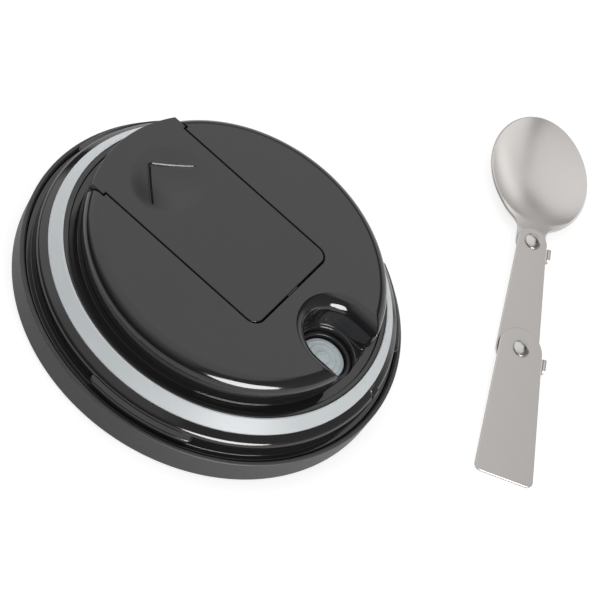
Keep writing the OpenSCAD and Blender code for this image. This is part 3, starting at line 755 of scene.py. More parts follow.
class JARLID_OT_stage(bpy.types.Operator):
    """Makes the floor, the sky, the lamps and the camera"""

    bl_idname = "jarlid.stage"
    bl_label = "Stage"

    def execute(self, context):
        scene = context.scene
        levels = scene.lid_studio
        scene.view_settings.view_transform = "Standard"

        floor = solid("floor", slab(disc_outline(0.0, 0.0, 2500.0, 64), -20.0, 0.0))
        floor.data.transform(Matrix.Scale(MM, 4))
        paper = bpy.data.materials.new("floor_paper")
        floor_finish(emptied(paper), levels)
        floor.data.materials.append(paper)

        scene.world = bpy.data.worlds.new("studio_sky")
        start = emptied(scene.world)
        shown = start.node("ShaderNodeLightPath", None, None, "Is Camera Ray")
        seen = (shown + shown.beside("Is Transmission Ray")).held()
        shade = seen.blend(studio_light(start), (1.0, 1.0, 1.0))
        sky = start.node("ShaderNodeBackground", None, {"Color": shade, "Strength": levels.sky})
        start.node("ShaderNodeOutputWorld", None, {"Surface": sky})

        lid, bowl = (0.0, 0.0, 0.02), (0.042, 0.125, 0.003)
        lamp("key", (0.672, -0.384, 0.195), lid, (0.42, 0.30), levels.key, glossy=False)
        lamp("glint", (0.663, -0.447, 0.22), lid, (0.64, 0.42), levels.glint, "ELLIPSE", diffuse=False)
        card = lamp("card", (0.178, 0.247, 0.090), bowl, (0.36, 0.24), levels.card, "ELLIPSE")
        card.light_linking.receiver_collection = card_group()

        camera = bpy.data.cameras.new("camera")
        camera.lens = 120.0
        camera.sensor_width = 36.0
        camera.clip_start = 0.01
        eye = bpy.data.objects.new("camera", camera)
        right = Vector(EYE_RIGHT).normalized()
        back = right.cross(Vector(EYE_UP)).normalized()
        turn = Matrix((right, back.cross(right), back)).transposed().to_4x4()
        eye.matrix_world = Matrix.Translation(EYE) @ turn
        scene.collection.objects.link(eye)
        scene.camera = eye
        return {"FINISHED"}


# Pieces of the lid -----------------------------------------------------------------------------


class JARLID_OT_cap(bpy.types.Operator):
    """Builds the outer cap with its button hole"""

    bl_idname = "jarlid.cap"
    bl_label = "Outer cap"

    def execute(self, context):
        hole, guide, top = 7.1, 7.98, 5.6
        cap = solid("cap_shell", turned([
            (0.0, 0.0), (CAP_R, 0.0, 1.2), (CAP_R, CREST_Z, 0.4), (CAP_R - 1.0, CREST_Z, 0.2),
            (CAP_BORE_R, LEDGE_Z, 0.1), (CAP_BORE_R, CAP_FLOOR), (0.0, CAP_FLOOR)], 9.0))
        combine(cap, "UNION", turned([
            (guide, 1.0), (guide + 1.4, 1.0), (guide + 1.4, top), (guide, top)], 12.0, 96, VENT_AXIS))
        combine(cap, "DIFFERENCE", turned([
            (0.0, -1.0), (hole + 0.4, -1.0), (hole + 0.25, 0.0, 0.2), (hole, 0.3, 0.2), (hole, CAP_FLOOR),
            (guide, CAP_FLOOR), (guide, top + 0.4), (0.0, top + 0.4)], 14.0, 96, VENT_AXIS))
        settled(cap, "lid", "cap_plastic", "outer_cap")
        return {"FINISHED"}


def lug_shape(middle, angle):
    """A thread lug: a smooth rib round the collar's wall with blunt, rounded ends."""
    low, high = LEDGE_Z + 1.0, LEDGE_Z + 4.0
    reach, blunt, root = 1.5, 1.9, COLLAR_R - 0.8
    length = COLLAR_R * angle
    ends = [blunt * (1.0 - math.cos(QUARTER * k / 9)) for k in range(10)]
    body = [blunt + (length - 2.0 * blunt) * k / 44 for k in range(1, 44)]
    loops = []
    for along in ends + body + [length - end for end in reversed(ends)]:
        near = min(min(along, length - along) / blunt, 1.0)
        rise = math.sqrt(1.0 - (1.0 - near) ** 2)
        out = COLLAR_R - 0.3 + (reach + 0.3) * rise
        squeeze = 0.5 * (1.0 - rise)
        section = rounded([
            (root, low), (out, low + 0.8 + squeeze, 0.6), (out, high - 0.7 - squeeze, 0.6),
            (root, high)], fixed=6)
        loops.append(swung(section, middle + angle * (along / length - 0.5)))
    return lofted(loops)


def rib_shape():
    """The index rib: a short bar over the collar's edge, whose ends slope into it."""
    loops = []
    for degrees, sink in ((3.7, 0.35), (3.78, 0.1), (3.95, 0.0), (6.85, 0.0), (7.02, 0.1), (7.1, 0.35)):
        wall, land = COLLAR_R - sink, LAND_Z - sink
        section = rounded([
            (GASKET_R - 0.5, 12.0), (wall - 0.3, 11.4), (wall + 0.3, 11.8, 0.1), (wall + 0.2, 13.3, 1.2),
            (GASKET_R + 0.7 - sink, land - 0.05, 0.2), (GASKET_R - 0.3, land - 0.2)], fixed=6)
        loops.append(swung(section, math.radians(degrees)))
    return lofted(loops)


class JARLID_OT_collar(bpy.types.Operator):
    """Builds the collar with its thread lugs and index rib"""

    bl_idname = "jarlid.collar"
    bl_label = "Threaded collar"

    def execute(self, context):
        sizes = context.scene.lid_sizes
        inner, hollow, outer = FLANGE_R + 0.05, 50.025, SEAM_R - 2.2
        step, shoulder = 5.9, 12.9
        wall = solid("collar_wall", turned([
            (inner, SKIRT_Z), (inner + 2.2, SKIRT_Z), (inner + 2.2, 12.4), (hollow, 11.3), (hollow, step),
            (outer, step), (outer, SKIRT_Z), (SEAM_R, SKIRT_Z), (SEAM_R, LEDGE_Z, 0.3),
            (COLLAR_R, LEDGE_Z, 0.25), (COLLAR_R, shoulder, 2.0), (GASKET_R + 0.1, LAND_Z, 0.15),
            (inner, LAND_Z)]))
        lugs = solid("thread_lugs", lug_shape(sizes.lug_middle, sizes.lug_angle))
        with_nodes(lugs, "ring", {"Lug": None, "Count": sizes.lug_count}, ring_nodes, "lid_plastic")
        for piece in (wall, lugs, solid("index_rib", rib_shape())):
            settled(piece, "lid", "lid_plastic", "threaded_collar")
        return {"FINISHED"}


class JARLID_OT_gasket(bpy.types.Operator):
    """Builds the silicone gasket, and finishes the inner seal"""

    bl_idname = "jarlid.gasket"
    bl_label = "Gasket and seal"

    def execute(self, context):
        inner, low, high = FLANGE_R + 0.02, LAND_Z + 0.02, FLANGE_Z - 0.02
        ring = solid("gasket", turned([
            (inner, low), (GASKET_R, low, 0.06), (GASKET_R, LAND_Z + 0.45, 0.25), (inner + 0.4, high, 0.35),
            (inner, high, 0.1)]))
        settled(ring, "lid", "gasket_silicone", "gasket_ring")
        repaint(frame["nodes"]["collar_seal"], "seal_rubber")
        return {"FINISHED"}


def bay_outline(radius, bay, mouth, depth):
    """A circle with a round-ended bay open towards +X, moved inwards by depth.

    Gives (x, y, share), where share is 1 on the circle and 0 in the bay.
    """
    corner_y, meet_y = bay + mouth, bay + depth
    corner_x = math.sqrt((radius - mouth) ** 2 - corner_y ** 2)
    meet_x = math.sqrt((radius - depth) ** 2 - meet_y ** 2)
    tangent = math.atan2(corner_y, corner_x)
    past = depth >= mouth
    limit = max(tangent, math.atan2(meet_y, meet_x)) if past else tangent
    circle = []
    for k in range(321):
        angle = min(max(tangent + (TURN - 2.0 * tangent) * k / 320, limit), TURN - limit)
        circle.append((*polar(radius - depth, angle), 1.0))
    end = min(corner_x, meet_x) if past else corner_x
    side = [(min(VENT_X + (corner_x - VENT_X) * k / 8, end), meet_y, 0.0) for k in range(9)]
    for k in range(1, 12):
        x, y = meet_x, meet_y
        if not past:
            x, y = polar(mouth - depth, (QUARTER + tangent) * k / 12 - QUARTER, corner_x, corner_y)
        side.append((x, y, k / 12))
    other_side = [(x, -y, share) for x, y, share in reversed(side)]
    hollow = [(x, y, 0.0) for x, y in arc(VENT_X, 0.0, bay + depth, 267, 93, 58)]
    return circle + other_side + hollow + side


def round_drop(distance, radius):
    """How far a rounded edge lies below its face at a distance from the wall."""
    if distance >= radius:
        return 0.0
    return radius - math.sqrt(max(radius ** 2 - (radius - max(distance, 0.0)) ** 2, 0.0))


def soft_max(a, b, width):
    """The larger of two values, with the crease between them softened."""
    width = min(width, a, b) + 1e-9
    share = max(width - abs(a - b), 0.0) / width
    return max(a, b) + share * share * width / 4.0


def box_outline(x0, x1, half, corner=0.0):
    """Anticlockwise rectangle about the X axis."""
    return rounded([(x0, -half, corner), (x1, -half, corner), (x1, half, corner), (x0, half, corner)])


def door_outline(gap):
    """Anticlockwise outline of the door's slot with its wider head at -X, moved inwards by a gap."""
    half, head, corner = SLOT_HALF - gap, HEAD_HALF - gap, SLOT_CORNER - gap
    start, step, middle = -PLUG_R - 3.0, HEAD_X - gap, SLOT_X1 - SLOT_CORNER
    return (
        [(start, -head), (step, -head), (step, -half)]
        + arc(middle, corner - half, corner, -90, 0, 12)
        + arc(middle, half - corner, corner, 0, 90, 12)
        + [(step, half), (step, head), (start, head)]
    )


def plug_body(shoulder, edge, mouth):
    """The plug above its flange: drafted wall, rounded shoulder, and the notch with its rounded edge."""
    groove, draft, fillet = 0.75, 0.4, 0.28
    foot, inset, swell = (
        bay_outline(PLUG_R, NOTCH_R, mouth, depth) for depth in (0.0, groove, -draft - fillet))

    def row(share_in, z):
        """The wall at a height: in by a share of the foot's groove outside, and with draft in the notch."""
        lean = draft * (FACE_Z - edge - z) / (FACE_Z - edge - FLANGE_Z)
        rise = min(max((FLANGE_Z + fillet - z) / fillet, 0.0), 1.0)
        share_out = (min(lean, draft) + fillet * (1.0 - math.sqrt(1.0 - rise * rise))) / (draft + fillet)
        loop = []
        for (x, y, share), (in_x, in_y, _), (out_x, out_y, _) in zip(foot, inset, swell):
            near, far = share_in * share, share_out * (1.0 - share)
            wall_x = x + (in_x - x) * near + (out_x - x) * far
            wall_y = y + (in_y - y) * near + (out_y - y) * far
            loop.append((wall_x, wall_y, z))
        return loop

    def height(x, y):
        """The top's height: the face, less the deeper of the two rounded edges."""
        to_wall = PLUG_R - math.hypot(x, y)
        to_bay = (abs(y) if x > VENT_X else math.hypot(x - VENT_X, y)) - NOTCH_R
        return FACE_Z - soft_max(round_drop(to_wall, shoulder), round_drop(to_bay, edge), 0.9)

    loops = [row(1.0, FLANGE_Z - 1.1)]
    loops += [row(1.0, FLANGE_Z + fillet * (1.0 - math.cos(QUARTER * k / 4))) for k in range(5)]
    loops += [row(1.0, 19.15), row(0.25, 19.5), row(0.04, 19.62), row(0.0, 19.8), row(0.0, 21.5)]
    depths = {shoulder * (1.0 - math.cos(QUARTER * k / 14)) for k in range(15)}
    depths |= {edge * (1.0 - math.cos(QUARTER * k / 9)) for k in range(9)}
    for depth in sorted(depths):
        loops.append([(x, y, height(x, y)) for x, y, _ in bay_outline(PLUG_R, NOTCH_R, mouth, depth)])
    return lofted(loops)


class JARLID_OT_plug(bpy.types.Operator):
    """Builds the plug with its shoulder, notch, well and the door's slot"""

    bl_idname = "jarlid.plug"
    bl_label = "Inner plug"

    def execute(self, context):
        sizes = context.scene.lid_sizes
        plug = solid("plug", plug_body(sizes.shoulder / MM, sizes.notch_edge / MM, sizes.mouth_round / MM))
        skirt, seal, land, hub = FLANGE_R - 2.0, FLANGE_R - 1.1, FLANGE_R - 1.5, 22.0
        seal_low, seal_high, web, channel = 8.6, 10.2, 16.1, 17.6
        combine(plug, "UNION", turned([
            (skirt, SKIRT_Z), (FLANGE_R, SKIRT_Z), (FLANGE_R, seal_low), (seal, seal_low),
            (seal, seal_high), (FLANGE_R, seal_high), (FLANGE_R, FLANGE_Z, 0.4), (land, FLANGE_Z, 0.3),
            (land, channel, 0.2), (PLUG_R - 0.7, channel, 0.2), (PLUG_R - 0.7, FLANGE_Z, 0.15),
            (hub, FLANGE_Z), (hub, web), (skirt, web)], 15.0))
        hollow = [(x, y) for x, y, _ in bay_outline(PLUG_IN_R, NOTCH_R + WELL_WALL, 0.4, 0.0)]
        combine(plug, "DIFFERENCE", slab(hollow, 15.0, RAIL_Z + 0.06))
        combine(plug, "UNION", slab(disc_outline(VENT_X, 0.0, WELL_R + WELL_WALL, 96), WEB_Z, 17.2))
        combine(plug, "DIFFERENCE", flared(disc_outline(VENT_X, 0.0, WELL_R, 96), SEAT_Z, FLANGE_Z, 0.48))
        bores = [disc_outline(VENT_X, 0.0, 1.68)]
        bores += [disc_outline(*spot, 0.8, 24) for spot in arc(VENT_X, 0.0, 3.3, 60, 300, 2)]
        combine(plug, "DIFFERENCE", *(slab(bore, WEB_Z - 1.0, SEAT_Z + 1.0) for bore in bores))
        combine(plug, "DIFFERENCE", flared(door_outline(0.0), RAIL_Z, FACE_Z, sizes.slot_edge / MM))
        rails = box_outline(-PLUG_R - 4.0, SLOT_X1, HEAD_HALF + 0.3)
        combine(plug, "DIFFERENCE", slab(rails, RAIL_Z + 0.003, TONGUE_Z + 0.1))
        settled(plug, "lid", "lid_plastic", "inner_plug", 32.0)
        return {"FINISHED"}


def recess_drop(x, y, sizes):
    """Depth of the thumb recess at a place on the door."""
    across = 2.0 * y / (sizes.recess_width / MM)
    along = 2.0 * (x - RECESS_X) / (sizes.recess_length / MM)
    near = along * along + across * across
    return 0.0 if near >= 1.0 else sizes.recess_depth / MM * (1.0 - near) ** 1.4


def recess_cutter(sizes):
    """Solid that leaves the thumb recess, with an edge that runs out smoothly."""
    half_x, half_y = sizes.recess_length / MM / 2.0, sizes.recess_width / MM / 2.0
    loops = []
    for k in range(1, 31):
        share = math.sin(QUARTER * k / 30)
        loops.append([(RECESS_X + half_x * share * math.cos(TURN * j / 120),
                       half_y * share * math.sin(TURN * j / 120)) for j in range(120)])
    rows = [[(x, y, FACE_Z - recess_drop(x, y, sizes)) for x, y in loop] for loop in loops[:-1]]
    rows += [[(x, y, FACE_Z + over) for x, y in loops[-1]] for over in (0.003, 2.0)]
    return lofted(rows)


def arrow_cutter(sizes):
    """Solid that leaves the arrow groove: a wedge bent at the arrow's point, with one leg shallower."""
    angle, half = sizes.arrow_angle, sizes.arrow_width / MM / 2.0
    tip, bend, run_out, steps = Vector((ARROW_X, 0.0)), 1.1, 0.6, 24
    reach = sizes.arrow_leg / MM - bend
    first, second = (Vector((math.cos(angle), side * math.sin(angle))) for side in (-1.0, 1.0))
    path = [tip + first * (bend + reach * (1.0 - k / steps)) for k in range(steps + 1)]
    path += [tip + first * (bend * (1.0 - k / 8) ** 2) + second * (bend * (k / 8) ** 2) for k in range(1, 8)]
    path += [tip + second * (bend + reach * k / steps) for k in range(steps + 1)]
    loops = []
    last = len(path) - 1
    for index, spot in enumerate(path):
        ahead = (path[min(index + 1, last)] - path[max(index - 1, 0)]).normalized()
        end = min(index, last - index) * (reach + bend) / steps
        size = half * math.sqrt(max(1.0 - (1.0 - min(end / run_out, 1.0)) ** 2, 0.01))
        level = FACE_Z - recess_drop(spot.x, spot.y, sizes) + 0.02
        share = min(max((index - steps) / 8.0, 0.0), 1.0)
        left, right, deep = (a + (b - a) * share for a, b in zip(FIRST_LEG, SECOND_LEG))
        section = [(-size, 0.0), (size * left, -deep * size), (size * right, -deep * size), (size, 0.0),
                   (size * 1.25, 0.6), (-size * 1.25, 0.6)]
        loops.append([(spot.x + ahead.y * u, spot.y - ahead.x * u, level + v) for u, v in section])
    return lofted(loops)


class JARLID_OT_door(bpy.types.Operator):
    """Builds the sliding door with its thumb recess and arrow"""

    bl_idname = "jarlid.door"
    bl_label = "Spoon door"

    def execute(self, context):
        sizes = context.scene.lid_sizes
        x1 = SLOT_X1 - DOOR_GAP
        door = solid("door", slab(door_outline(DOOR_GAP), DOOR_Z, FACE_Z, 0.15, sizes.door_edge / MM, 5))
        tongues = box_outline(-PLUG_R - 3.0, x1 - SLOT_CORNER, HEAD_HALF)
        combine(door, "UNION", slab(tongues, DOOR_Z + 0.002, TONGUE_Z, 0.1, 0.1, 3))
        nose = box_outline(x1 - 1.0, SLOT_X1 - 0.1, 2.3)
        combine(door, "UNION", slab(nose, DOOR_Z + 0.004, FACE_Z - 0.25, 0.1, 0.1, 3))
        top = FACE_Z + 0.01
        combine(door, "INTERSECT", turned([
            (0.0, 20.0), (PLUG_R, 20.0), (PLUG_R, top, 0.5), (42.5, top), (0.0, FACE_Z + 1.0)], segments=360))
        combine(door, "DIFFERENCE", recess_cutter(sizes))
        combine(door, "DIFFERENCE", arrow_cutter(sizes))
        relief = box_outline(HEAD_X, x1 - 3.0, 14.7, 1.0)
        combine(door, "DIFFERENCE", slab(relief, DOOR_Z - 1.0, DOOR_Z + 0.6, 0.0, 0.2))
        settled(door, "door", "door_plastic", "spoon_door", 32.0)
        return {"FINISHED"}


class JARLID_OT_vent(bpy.types.Operator):
    """Builds the vent: seat, disc, button and spring, and finishes its stem"""

    bl_idname = "jarlid.vent"
    bl_label = "Vent"

    def execute(self, context):
        shelf, top = SEAT_Z + 2.3, SEAT_Z + 4.4
        seat = solid("seat", turned([
            (4.3, SEAT_Z), (8.05, SEAT_Z), (8.05, top, 0.3), (6.9, top, 0.3), (6.9, shelf, 0.2),
            (4.3, shelf, 0.2)], 12.0, 128, VENT_AXIS))
        settled(seat, "lid", "seal_rubber", "vent_seat")

        z, flat, dome, bore = DISC_Z, DISC_Z + 1.0, DISC_Z + 1.6, 1.62
        disc = solid("vent_disc", turned(
            [(0.0, dome)] + [(0.18 * k, dome - 0.004 * k * k) for k in range(1, 9)] + [
                (1.8, flat + 0.42), (2.15, flat + 0.12, 0.2), (2.6, flat + 0.04, 0.2), (3.35, flat, 0.2),
                (3.8, flat, 0.15), (4.0, flat + 0.2, 0.12), (4.2, flat, 0.15), (5.1, flat, 0.12),
                (5.3, flat + 0.2, 0.12), (5.5, flat, 0.15), (6.4, flat - 0.1, 0.35), (6.4, z, 0.3),
                (3.2, z, 0.15), (3.2, z - 1.9, 0.2), (bore, z - 1.9), (bore, z - 0.75), (2.12, z - 0.75),
                (2.12, z - 0.15), (bore, z - 0.15), (bore, z + 0.8), (0.0, z + 0.8)], 14.0, 128, VENT_AXIS))
        settled(disc, "vent", "vent_silicone", "vent_seal", 40.0)

        button = solid("button", turned(
            [(0.6 * k, 0.9 - 0.4 * (k / 10.0) ** 2) for k in range(10)] + [
                (6.0, 0.5), (6.8, 0.5, 0.3), (6.8, 2.3), (7.9, 2.3, 0.1), (7.9, 3.5, 0.1), (3.0, 3.5, 0.2),
                (3.0, 5.88, 0.2), (bore, 5.88), (bore, 3.5), (0.0, 3.5)], 12.0, 128, VENT_AXIS))
        settled(button, "vent", "button_plastic", "vent_button")

        low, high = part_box("vent_spring")
        sizes = context.scene.lid_sizes
        wire = sizes.spring_wire
        spring = bpy.data.objects.new("spring", bpy.data.meshes.new("spring"))
        context.scene.collection.objects.link(spring)
        with_nodes(spring, "coil", {
            "Radius": COIL_R, "Wire": wire, "Turns": sizes.spring_turns,
            "Height": high.z - low.z - 2.0 * wire, "Low": low.z + wire}, coil_nodes, "spring_steel")
        spring.data.shade_smooth()
        dressed(spring, "lid", "spring_steel", "vent_spring")
        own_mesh(spring)
        repaint(frame["nodes"]["vent_stem"], "stem_plastic")
        return {"FINISHED"}


class JARLID_OT_inside(bpy.types.Operator):
    """Finishes the spoon's tray and the foam"""

    bl_idname = "jarlid.inside"
    bl_label = "Tray and foam"

    def execute(self, context):
        repaint(frame["nodes"]["spoon_tray"], "lid_plastic")
        repaint(frame["nodes"]["foam_core"], "foam")
        return {"FINISHED"}


# Pieces of the spoon, in its own frame: X to the tip, origin under the upper rivet -------------

# The bowl's middle, half its length, half its width and its depth
BOWL_X = 27.8
BOWL_HALF = 21.8
BOWL_WIDE = 16.95
BOWL_DEEP = 6.5

# Half the neck's width, and the fillet between neck and rim
NECK_HALF = 4.85
NECK_FILLET = 5.0

# The lower rivet, the handle's end with half its width, where the strips start to widen, their heights
LINK_REACH = 40.6
END_X = -84.5
HANDLE_HALF = 9.2
STRIP_START = 2.7
LINK_Z = 1.35
HANDLE_Z = 3.7

# Where a tab ends behind its rivet, and how far it stands out from its strip
TAB_START = 1.0
TAB_OUT = 1.2

# Radius of the rivets' heads, and the height at which the frame gives the upper joint's place
RIVET_R = 2.7
JOINT_Z = 1.8


def spoon_place():
    """Where the spoon's own frame lies."""
    upper, lower = JOINTS["spoon_fold_upper"], JOINTS["spoon_fold_lower"]
    normal = Vector(upper["axis"]).normalized()
    along = Vector(upper["pos_m"]) - Vector(lower["pos_m"])
    along = (along - normal * along.dot(normal)).normalized()
    origin = Vector(upper["pos_m"]) - normal * JOINT_Z * MM
    turn = Matrix((along, normal.cross(along), normal)).transposed().to_4x4()
    return Matrix.Translation(origin) @ turn


def strip_half(x):
    """Half width of link and handle at a place along the spoon."""
    return NECK_HALF + max(0.0, -x - STRIP_START) * (HANDLE_HALF - NECK_HALF) / (-END_X - STRIP_START)


def barrel(half, wide, deep):
    """Two functions of a bowl with arcs through its rim and belly.

    One gives the half width of its rim at a distance from its middle, the other its depth at a place.
    """
    along = (half ** 2 + deep ** 2) / (2.0 * deep)
    across = (wide ** 2 + deep ** 2) / (2.0 * deep)

    def side(x, other):
        """The third side of the triangle with the belly's arc at x as its longest side."""
        reach = math.sqrt(max(along ** 2 - x ** 2, 0.0)) - (along - across)
        return math.sqrt(max(reach ** 2 - other ** 2, 0.0))

    return lambda x: side(x, across - deep), lambda x, y: side(x, y) - (across - deep)


def bowl_outline():
    """Anticlockwise outline of bowl and neck, from the tip round to the neck's round end and back."""
    rim, _ = barrel(BOWL_HALF, BOWL_WIDE, BOWL_DEEP)

    def slope(x):
        """How fast the rim widens at a distance from the bowl's middle."""
        return (rim(x + 0.01) - rim(x - 0.01)) / 0.02

    low, high = -BOWL_HALF + 0.1, -1.0
    for _ in range(40):
        meet = (low + high) / 2.0
        gap = rim(meet) - NECK_HALF + NECK_FILLET * (1.0 / math.sqrt(1.0 + slope(meet) ** 2) - 1.0)
        low, high = (meet, high) if gap < 0.0 else (low, meet)
    fillet_y = NECK_HALF + NECK_FILLET
    fillet_x = BOWL_X + meet - (fillet_y - rim(meet)) * slope(meet)
    start = math.degrees(math.atan2(rim(meet) - fillet_y, BOWL_X + meet - fillet_x))
    spread = [BOWL_HALF - (BOWL_HALF - meet) * (1.0 - math.cos(QUARTER * k / 90)) for k in range(1, 60)]
    spread += [spread[-1] + (meet - spread[-1]) * k / 31 for k in range(1, 32)]
    upper = [(BOWL_X + x, rim(x)) for x in spread]
    upper += arc(fillet_x, fillet_y, NECK_FILLET, start, -90, 14)[1:]
    upper += [(fillet_x * (1.0 - k / 20), NECK_HALF) for k in range(1, 20)]
    upper += arc(0.0, 0.0, NECK_HALF, 90, 180, 16)
    return [(BOWL_X + BOWL_HALF, 0.0)] + upper + [(x, -y) for x, y in reversed(upper[:-1])]


def smooth_step(low, high, value):
    """A share from 0 to 1 that starts and ends gently as a value goes from low to high."""
    share = min(max((value - low) / (high - low), 0.0), 1.0)
    return share * share * (3.0 - 2.0 * share)


def spoon_bowl_shape(sheet, edge):
    """Bowl and neck as one sheet: inner face, tumbled rim, outer face."""
    outline = grown(bowl_outline(), -edge * 0.7)
    lean = 0.62 * sheet
    _, drop = barrel(BOWL_HALF - lean, BOWL_WIDE - lean, BOWL_DEEP - sheet)

    def inner(x, y):
        """Height of the inner face."""
        u = x - BOWL_X
        if abs(u) > BOWL_HALF + 3.0:
            return sheet
        width = 0.1 + 2.2 * (1.0 - smooth_step(-BOWL_HALF + 2.0, -BOWL_HALF + 8.0, u))
        rise = -drop(u, y)
        share = max(width - abs(rise), 0.0) / width
        return sheet + min(0.0, rise) - share * share * width / 4.0

    def normal(x, y):
        """Direction away from the inner face."""
        step = 0.02
        dx = (inner(x + step, y) - inner(x - step, y)) / (2.0 * step)
        dy = (inner(x, y + step) - inner(x, y - step)) / (2.0 * step)
        return Vector((-dx, -dy, 1.0)).normalized()

    # Each place on the rim: the inner face's edge, the way out of the bowl, and the sheet's direction
    rim = []
    for index, (x, y) in enumerate(outline):
        before, after = outline[index - 1], outline[(index + 1) % len(outline)]
        ahead = Vector((after[0] - before[0], after[1] - before[1])).normalized()
        out = Vector((ahead.y, -ahead.x))
        face = normal(x - out.x * 0.8, y - out.y * 0.8)
        shift = math.hypot(face.x, face.y) * sheet
        rim.append((Vector((x - out.x * shift, y - out.y * shift)), out, face))

    # Loops of both faces from the bowl's middle out, where the sheet turns to the rim's direction
    centre = Vector((BOWL_X, 0.0))
    tops, lows = [], []
    for share in (math.sin(QUARTER * k / 34) ** 0.9 for k in range(1, 35)):
        tops.append([])
        lows.append([])
        for spot, _, face in rim:
            flat = centre + (spot - centre) * share
            top = Vector((flat.x, flat.y, inner(flat.x, flat.y)))
            to_rim = min(max((share - 0.8) / 0.13, 0.0), 1.0)
            tops[-1].append(top)
            lows[-1].append(top - normal(flat.x, flat.y).lerp(face, to_rim).normalized() * sheet)
    # The tumbled edge that joins them
    edges = []
    for angle in (math.pi * k / 6 for k in range(1, 6)):
        edges.append([])
        for (_, out, face), top, low in zip(rim, tops[-1], lows[-1]):
            side = Vector((out.x, out.y, 0.0))
            side = (side - face * side.dot(face)).normalized() * (edge * math.sin(angle))
            edges[-1].append(top.lerp(low, 0.5 - 0.5 * math.cos(angle)) + side)
    middle = inner(BOWL_X, 0.0)
    return lofted(lows + edges[::-1] + tops[::-1], [(BOWL_X, 0.0, middle - sheet), (BOWL_X, 0.0, middle)])


def tab_shape(x, z, sizes):
    """A thumb tab: the plate's right edge bent up, with rounded corners."""
    sheet, edge, length = sizes.sheet / MM, sizes.edge / MM, sizes.tab_length / MM
    top, corner, cuts = z + sheet + sizes.tab_height / MM, 0.9, 12
    outer = -strip_half(x - TAB_START) - TAB_OUT
    root = outer + TAB_OUT + 1.5
    section = rounded([
        (root, z + 0.04), (root, z + sheet - 0.04), (outer + sheet, z + sheet, 0.35),
        (outer + sheet, top, edge), (outer, top, edge * 1.2), (outer, z, 0.75)], 15.0)
    loops = []
    for k in range(cuts + 1):
        near = min(min(k, cuts - k) / cuts * length / corner, 1.0)
        trim = corner * (1.0 - math.sqrt(1.0 - (1.0 - near) ** 2))
        along = x - TAB_START - length * (1.0 - k / cuts)
        loops.append([(along, max(y, outer + trim * 0.25), min(level, top - trim)) for y, level in section])
    return lofted(loops)


class JARLID_OT_spoon(bpy.types.Operator):
    """Builds the spoon's bowl, link and handle"""

    bl_idname = "jarlid.spoon"
    bl_label = "Folding spoon"

    def execute(self, context):
        sizes = context.scene.spoon_sizes
        sheet, edge = sizes.sheet / MM, sizes.edge / MM
        place = spoon_place()
        far, half = -LINK_REACH, strip_half(-LINK_REACH)
        link = (
            arc(0.0, 0.0, NECK_HALF, -90, 90, 32)
            + [(-STRIP_START, NECK_HALF), (far, half)]
            + arc(far, 0.0, half, 90, 270, 40)[1:]
            + [(-STRIP_START, -NECK_HALF)]
        )
        handle = rounded([(far, -half), (far, half), (END_X, HANDLE_HALF, 2.0), (END_X, -HANDLE_HALF, 2.0)])
        handle = arc(far, 0.0, half, -90, 90, 40)[1:-1] + handle[1:] + handle[:1]
        bowl = settled(
            solid("spoon_bowl_sheet", spoon_bowl_shape(sheet, edge)), "bowl", "spoon_steel", "spoon_bowl",
            50.0, place)
        card_group().objects.link(bowl)
        for body, outline, x, z in (("link", link, 0.0, LINK_Z), ("handle", handle, far, HANDLE_Z)):
            strip = solid(body + "_sheet", slab(outline, z, z + sheet, edge, edge), tab_shape(x, z, sizes))
            settled(strip, body, "spoon_steel", "spoon_" + body, 50.0, place)
        return {"FINISHED"}


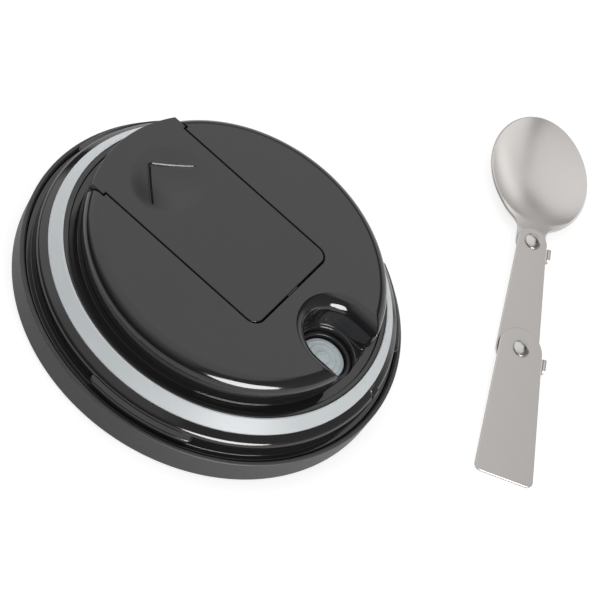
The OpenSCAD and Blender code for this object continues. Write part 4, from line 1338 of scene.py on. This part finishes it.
class JARLID_OT_rivets(bpy.types.Operator):
    """Builds the two stepped, domed rivets, and finishes their washers"""

    bl_idname = "jarlid.rivets"
    bl_label = "Rivets and washers"

    def execute(self, context):
        dome, rise, step = context.scene.spoon_sizes.dome / MM, 0.75, 0.35
        ball = (dome ** 2 + rise ** 2) / (2.0 * rise)
        place = spoon_place()
        for name, body, node, x, low, high, foot in (
                ("rivet_top", "bowl", "rivet_upper", 0.0, 0.0, 2.3, 0.6),
                ("rivet_low", "link", "rivet_lower", -LINK_REACH, LINK_Z, 4.65, 0.25)):
            top = high + step
            head = rounded([
                (0.0, low - foot), (RIVET_R, low - foot, 0.36 * foot), (RIVET_R, low, 0.1), (1.5, low),
                (1.5, high), (RIVET_R, high, 0.08), (RIVET_R, top, 0.14),
                (dome + 0.02, top - 0.02, 0.04)], 15.0)
            cap = [(dome, top + 0.02)]
            for radius in (dome * math.sin(QUARTER * k / 14) for k in range(13, -1, -1)):
                cap.append((radius, top + rise - ball + math.sqrt(ball ** 2 - radius ** 2)))
            rivet = solid(name, turned(head + cap, segments=96, centre=(x, 0.0)))
            settled(rivet, body, "rivet_steel", node, 40.0, place)
        repaint(frame["nodes"]["washer_upper"], "spoon_steel")
        repaint(frame["nodes"]["washer_lower"], "spoon_steel")
        return {"FINISHED"}


STEPS = (
    JARLID_OT_stage, JARLID_OT_cap, JARLID_OT_collar, JARLID_OT_gasket, JARLID_OT_plug, JARLID_OT_door,
    JARLID_OT_vent, JARLID_OT_inside, JARLID_OT_spoon, JARLID_OT_rivets,
)


class JARLID_PT_panel(bpy.types.Panel):
    """Lists the pieces of the jar lid and their sizes"""

    bl_idname = "JARLID_PT_panel"
    bl_label = "Jar Lid"
    bl_space_type = "VIEW_3D"
    bl_region_type = "UI"
    bl_category = "Jar Lid"

    def draw(self, context):
        for step in STEPS:
            self.layout.operator(step.bl_idname)
        for group in ("lid_sizes", "spoon_sizes", "lid_colours", "lid_studio"):
            box = self.layout.box()
            sizes = getattr(context.scene, group)
            for key in sizes.bl_rna.properties.keys():
                if key not in ("rna_type", "name"):
                    box.prop(sizes, key)


GROUPS = {
    "lid_sizes": LidSizes, "spoon_sizes": SpoonSizes, "lid_colours": PieceColours, "lid_studio": StudioLevels}


def register():
    for group in GROUPS.values():
        bpy.utils.register_class(group)
    for name, group in GROUPS.items():
        setattr(bpy.types.Scene, name, bpy.props.PointerProperty(type=group))
    for step in STEPS:
        bpy.utils.register_class(step)
    bpy.utils.register_class(JARLID_PT_panel)


def unregister():
    bpy.utils.unregister_class(JARLID_PT_panel)
    for step in reversed(STEPS):
        bpy.utils.unregister_class(step)
    for name in GROUPS:
        delattr(bpy.types.Scene, name)
    for group in GROUPS.values():
        bpy.utils.unregister_class(group)


def main():
    register()
    for step in STEPS:
        group, name = step.bl_idname.split(".")
        getattr(getattr(bpy.ops, group), name)()


if __name__ == "__main__":
    main()
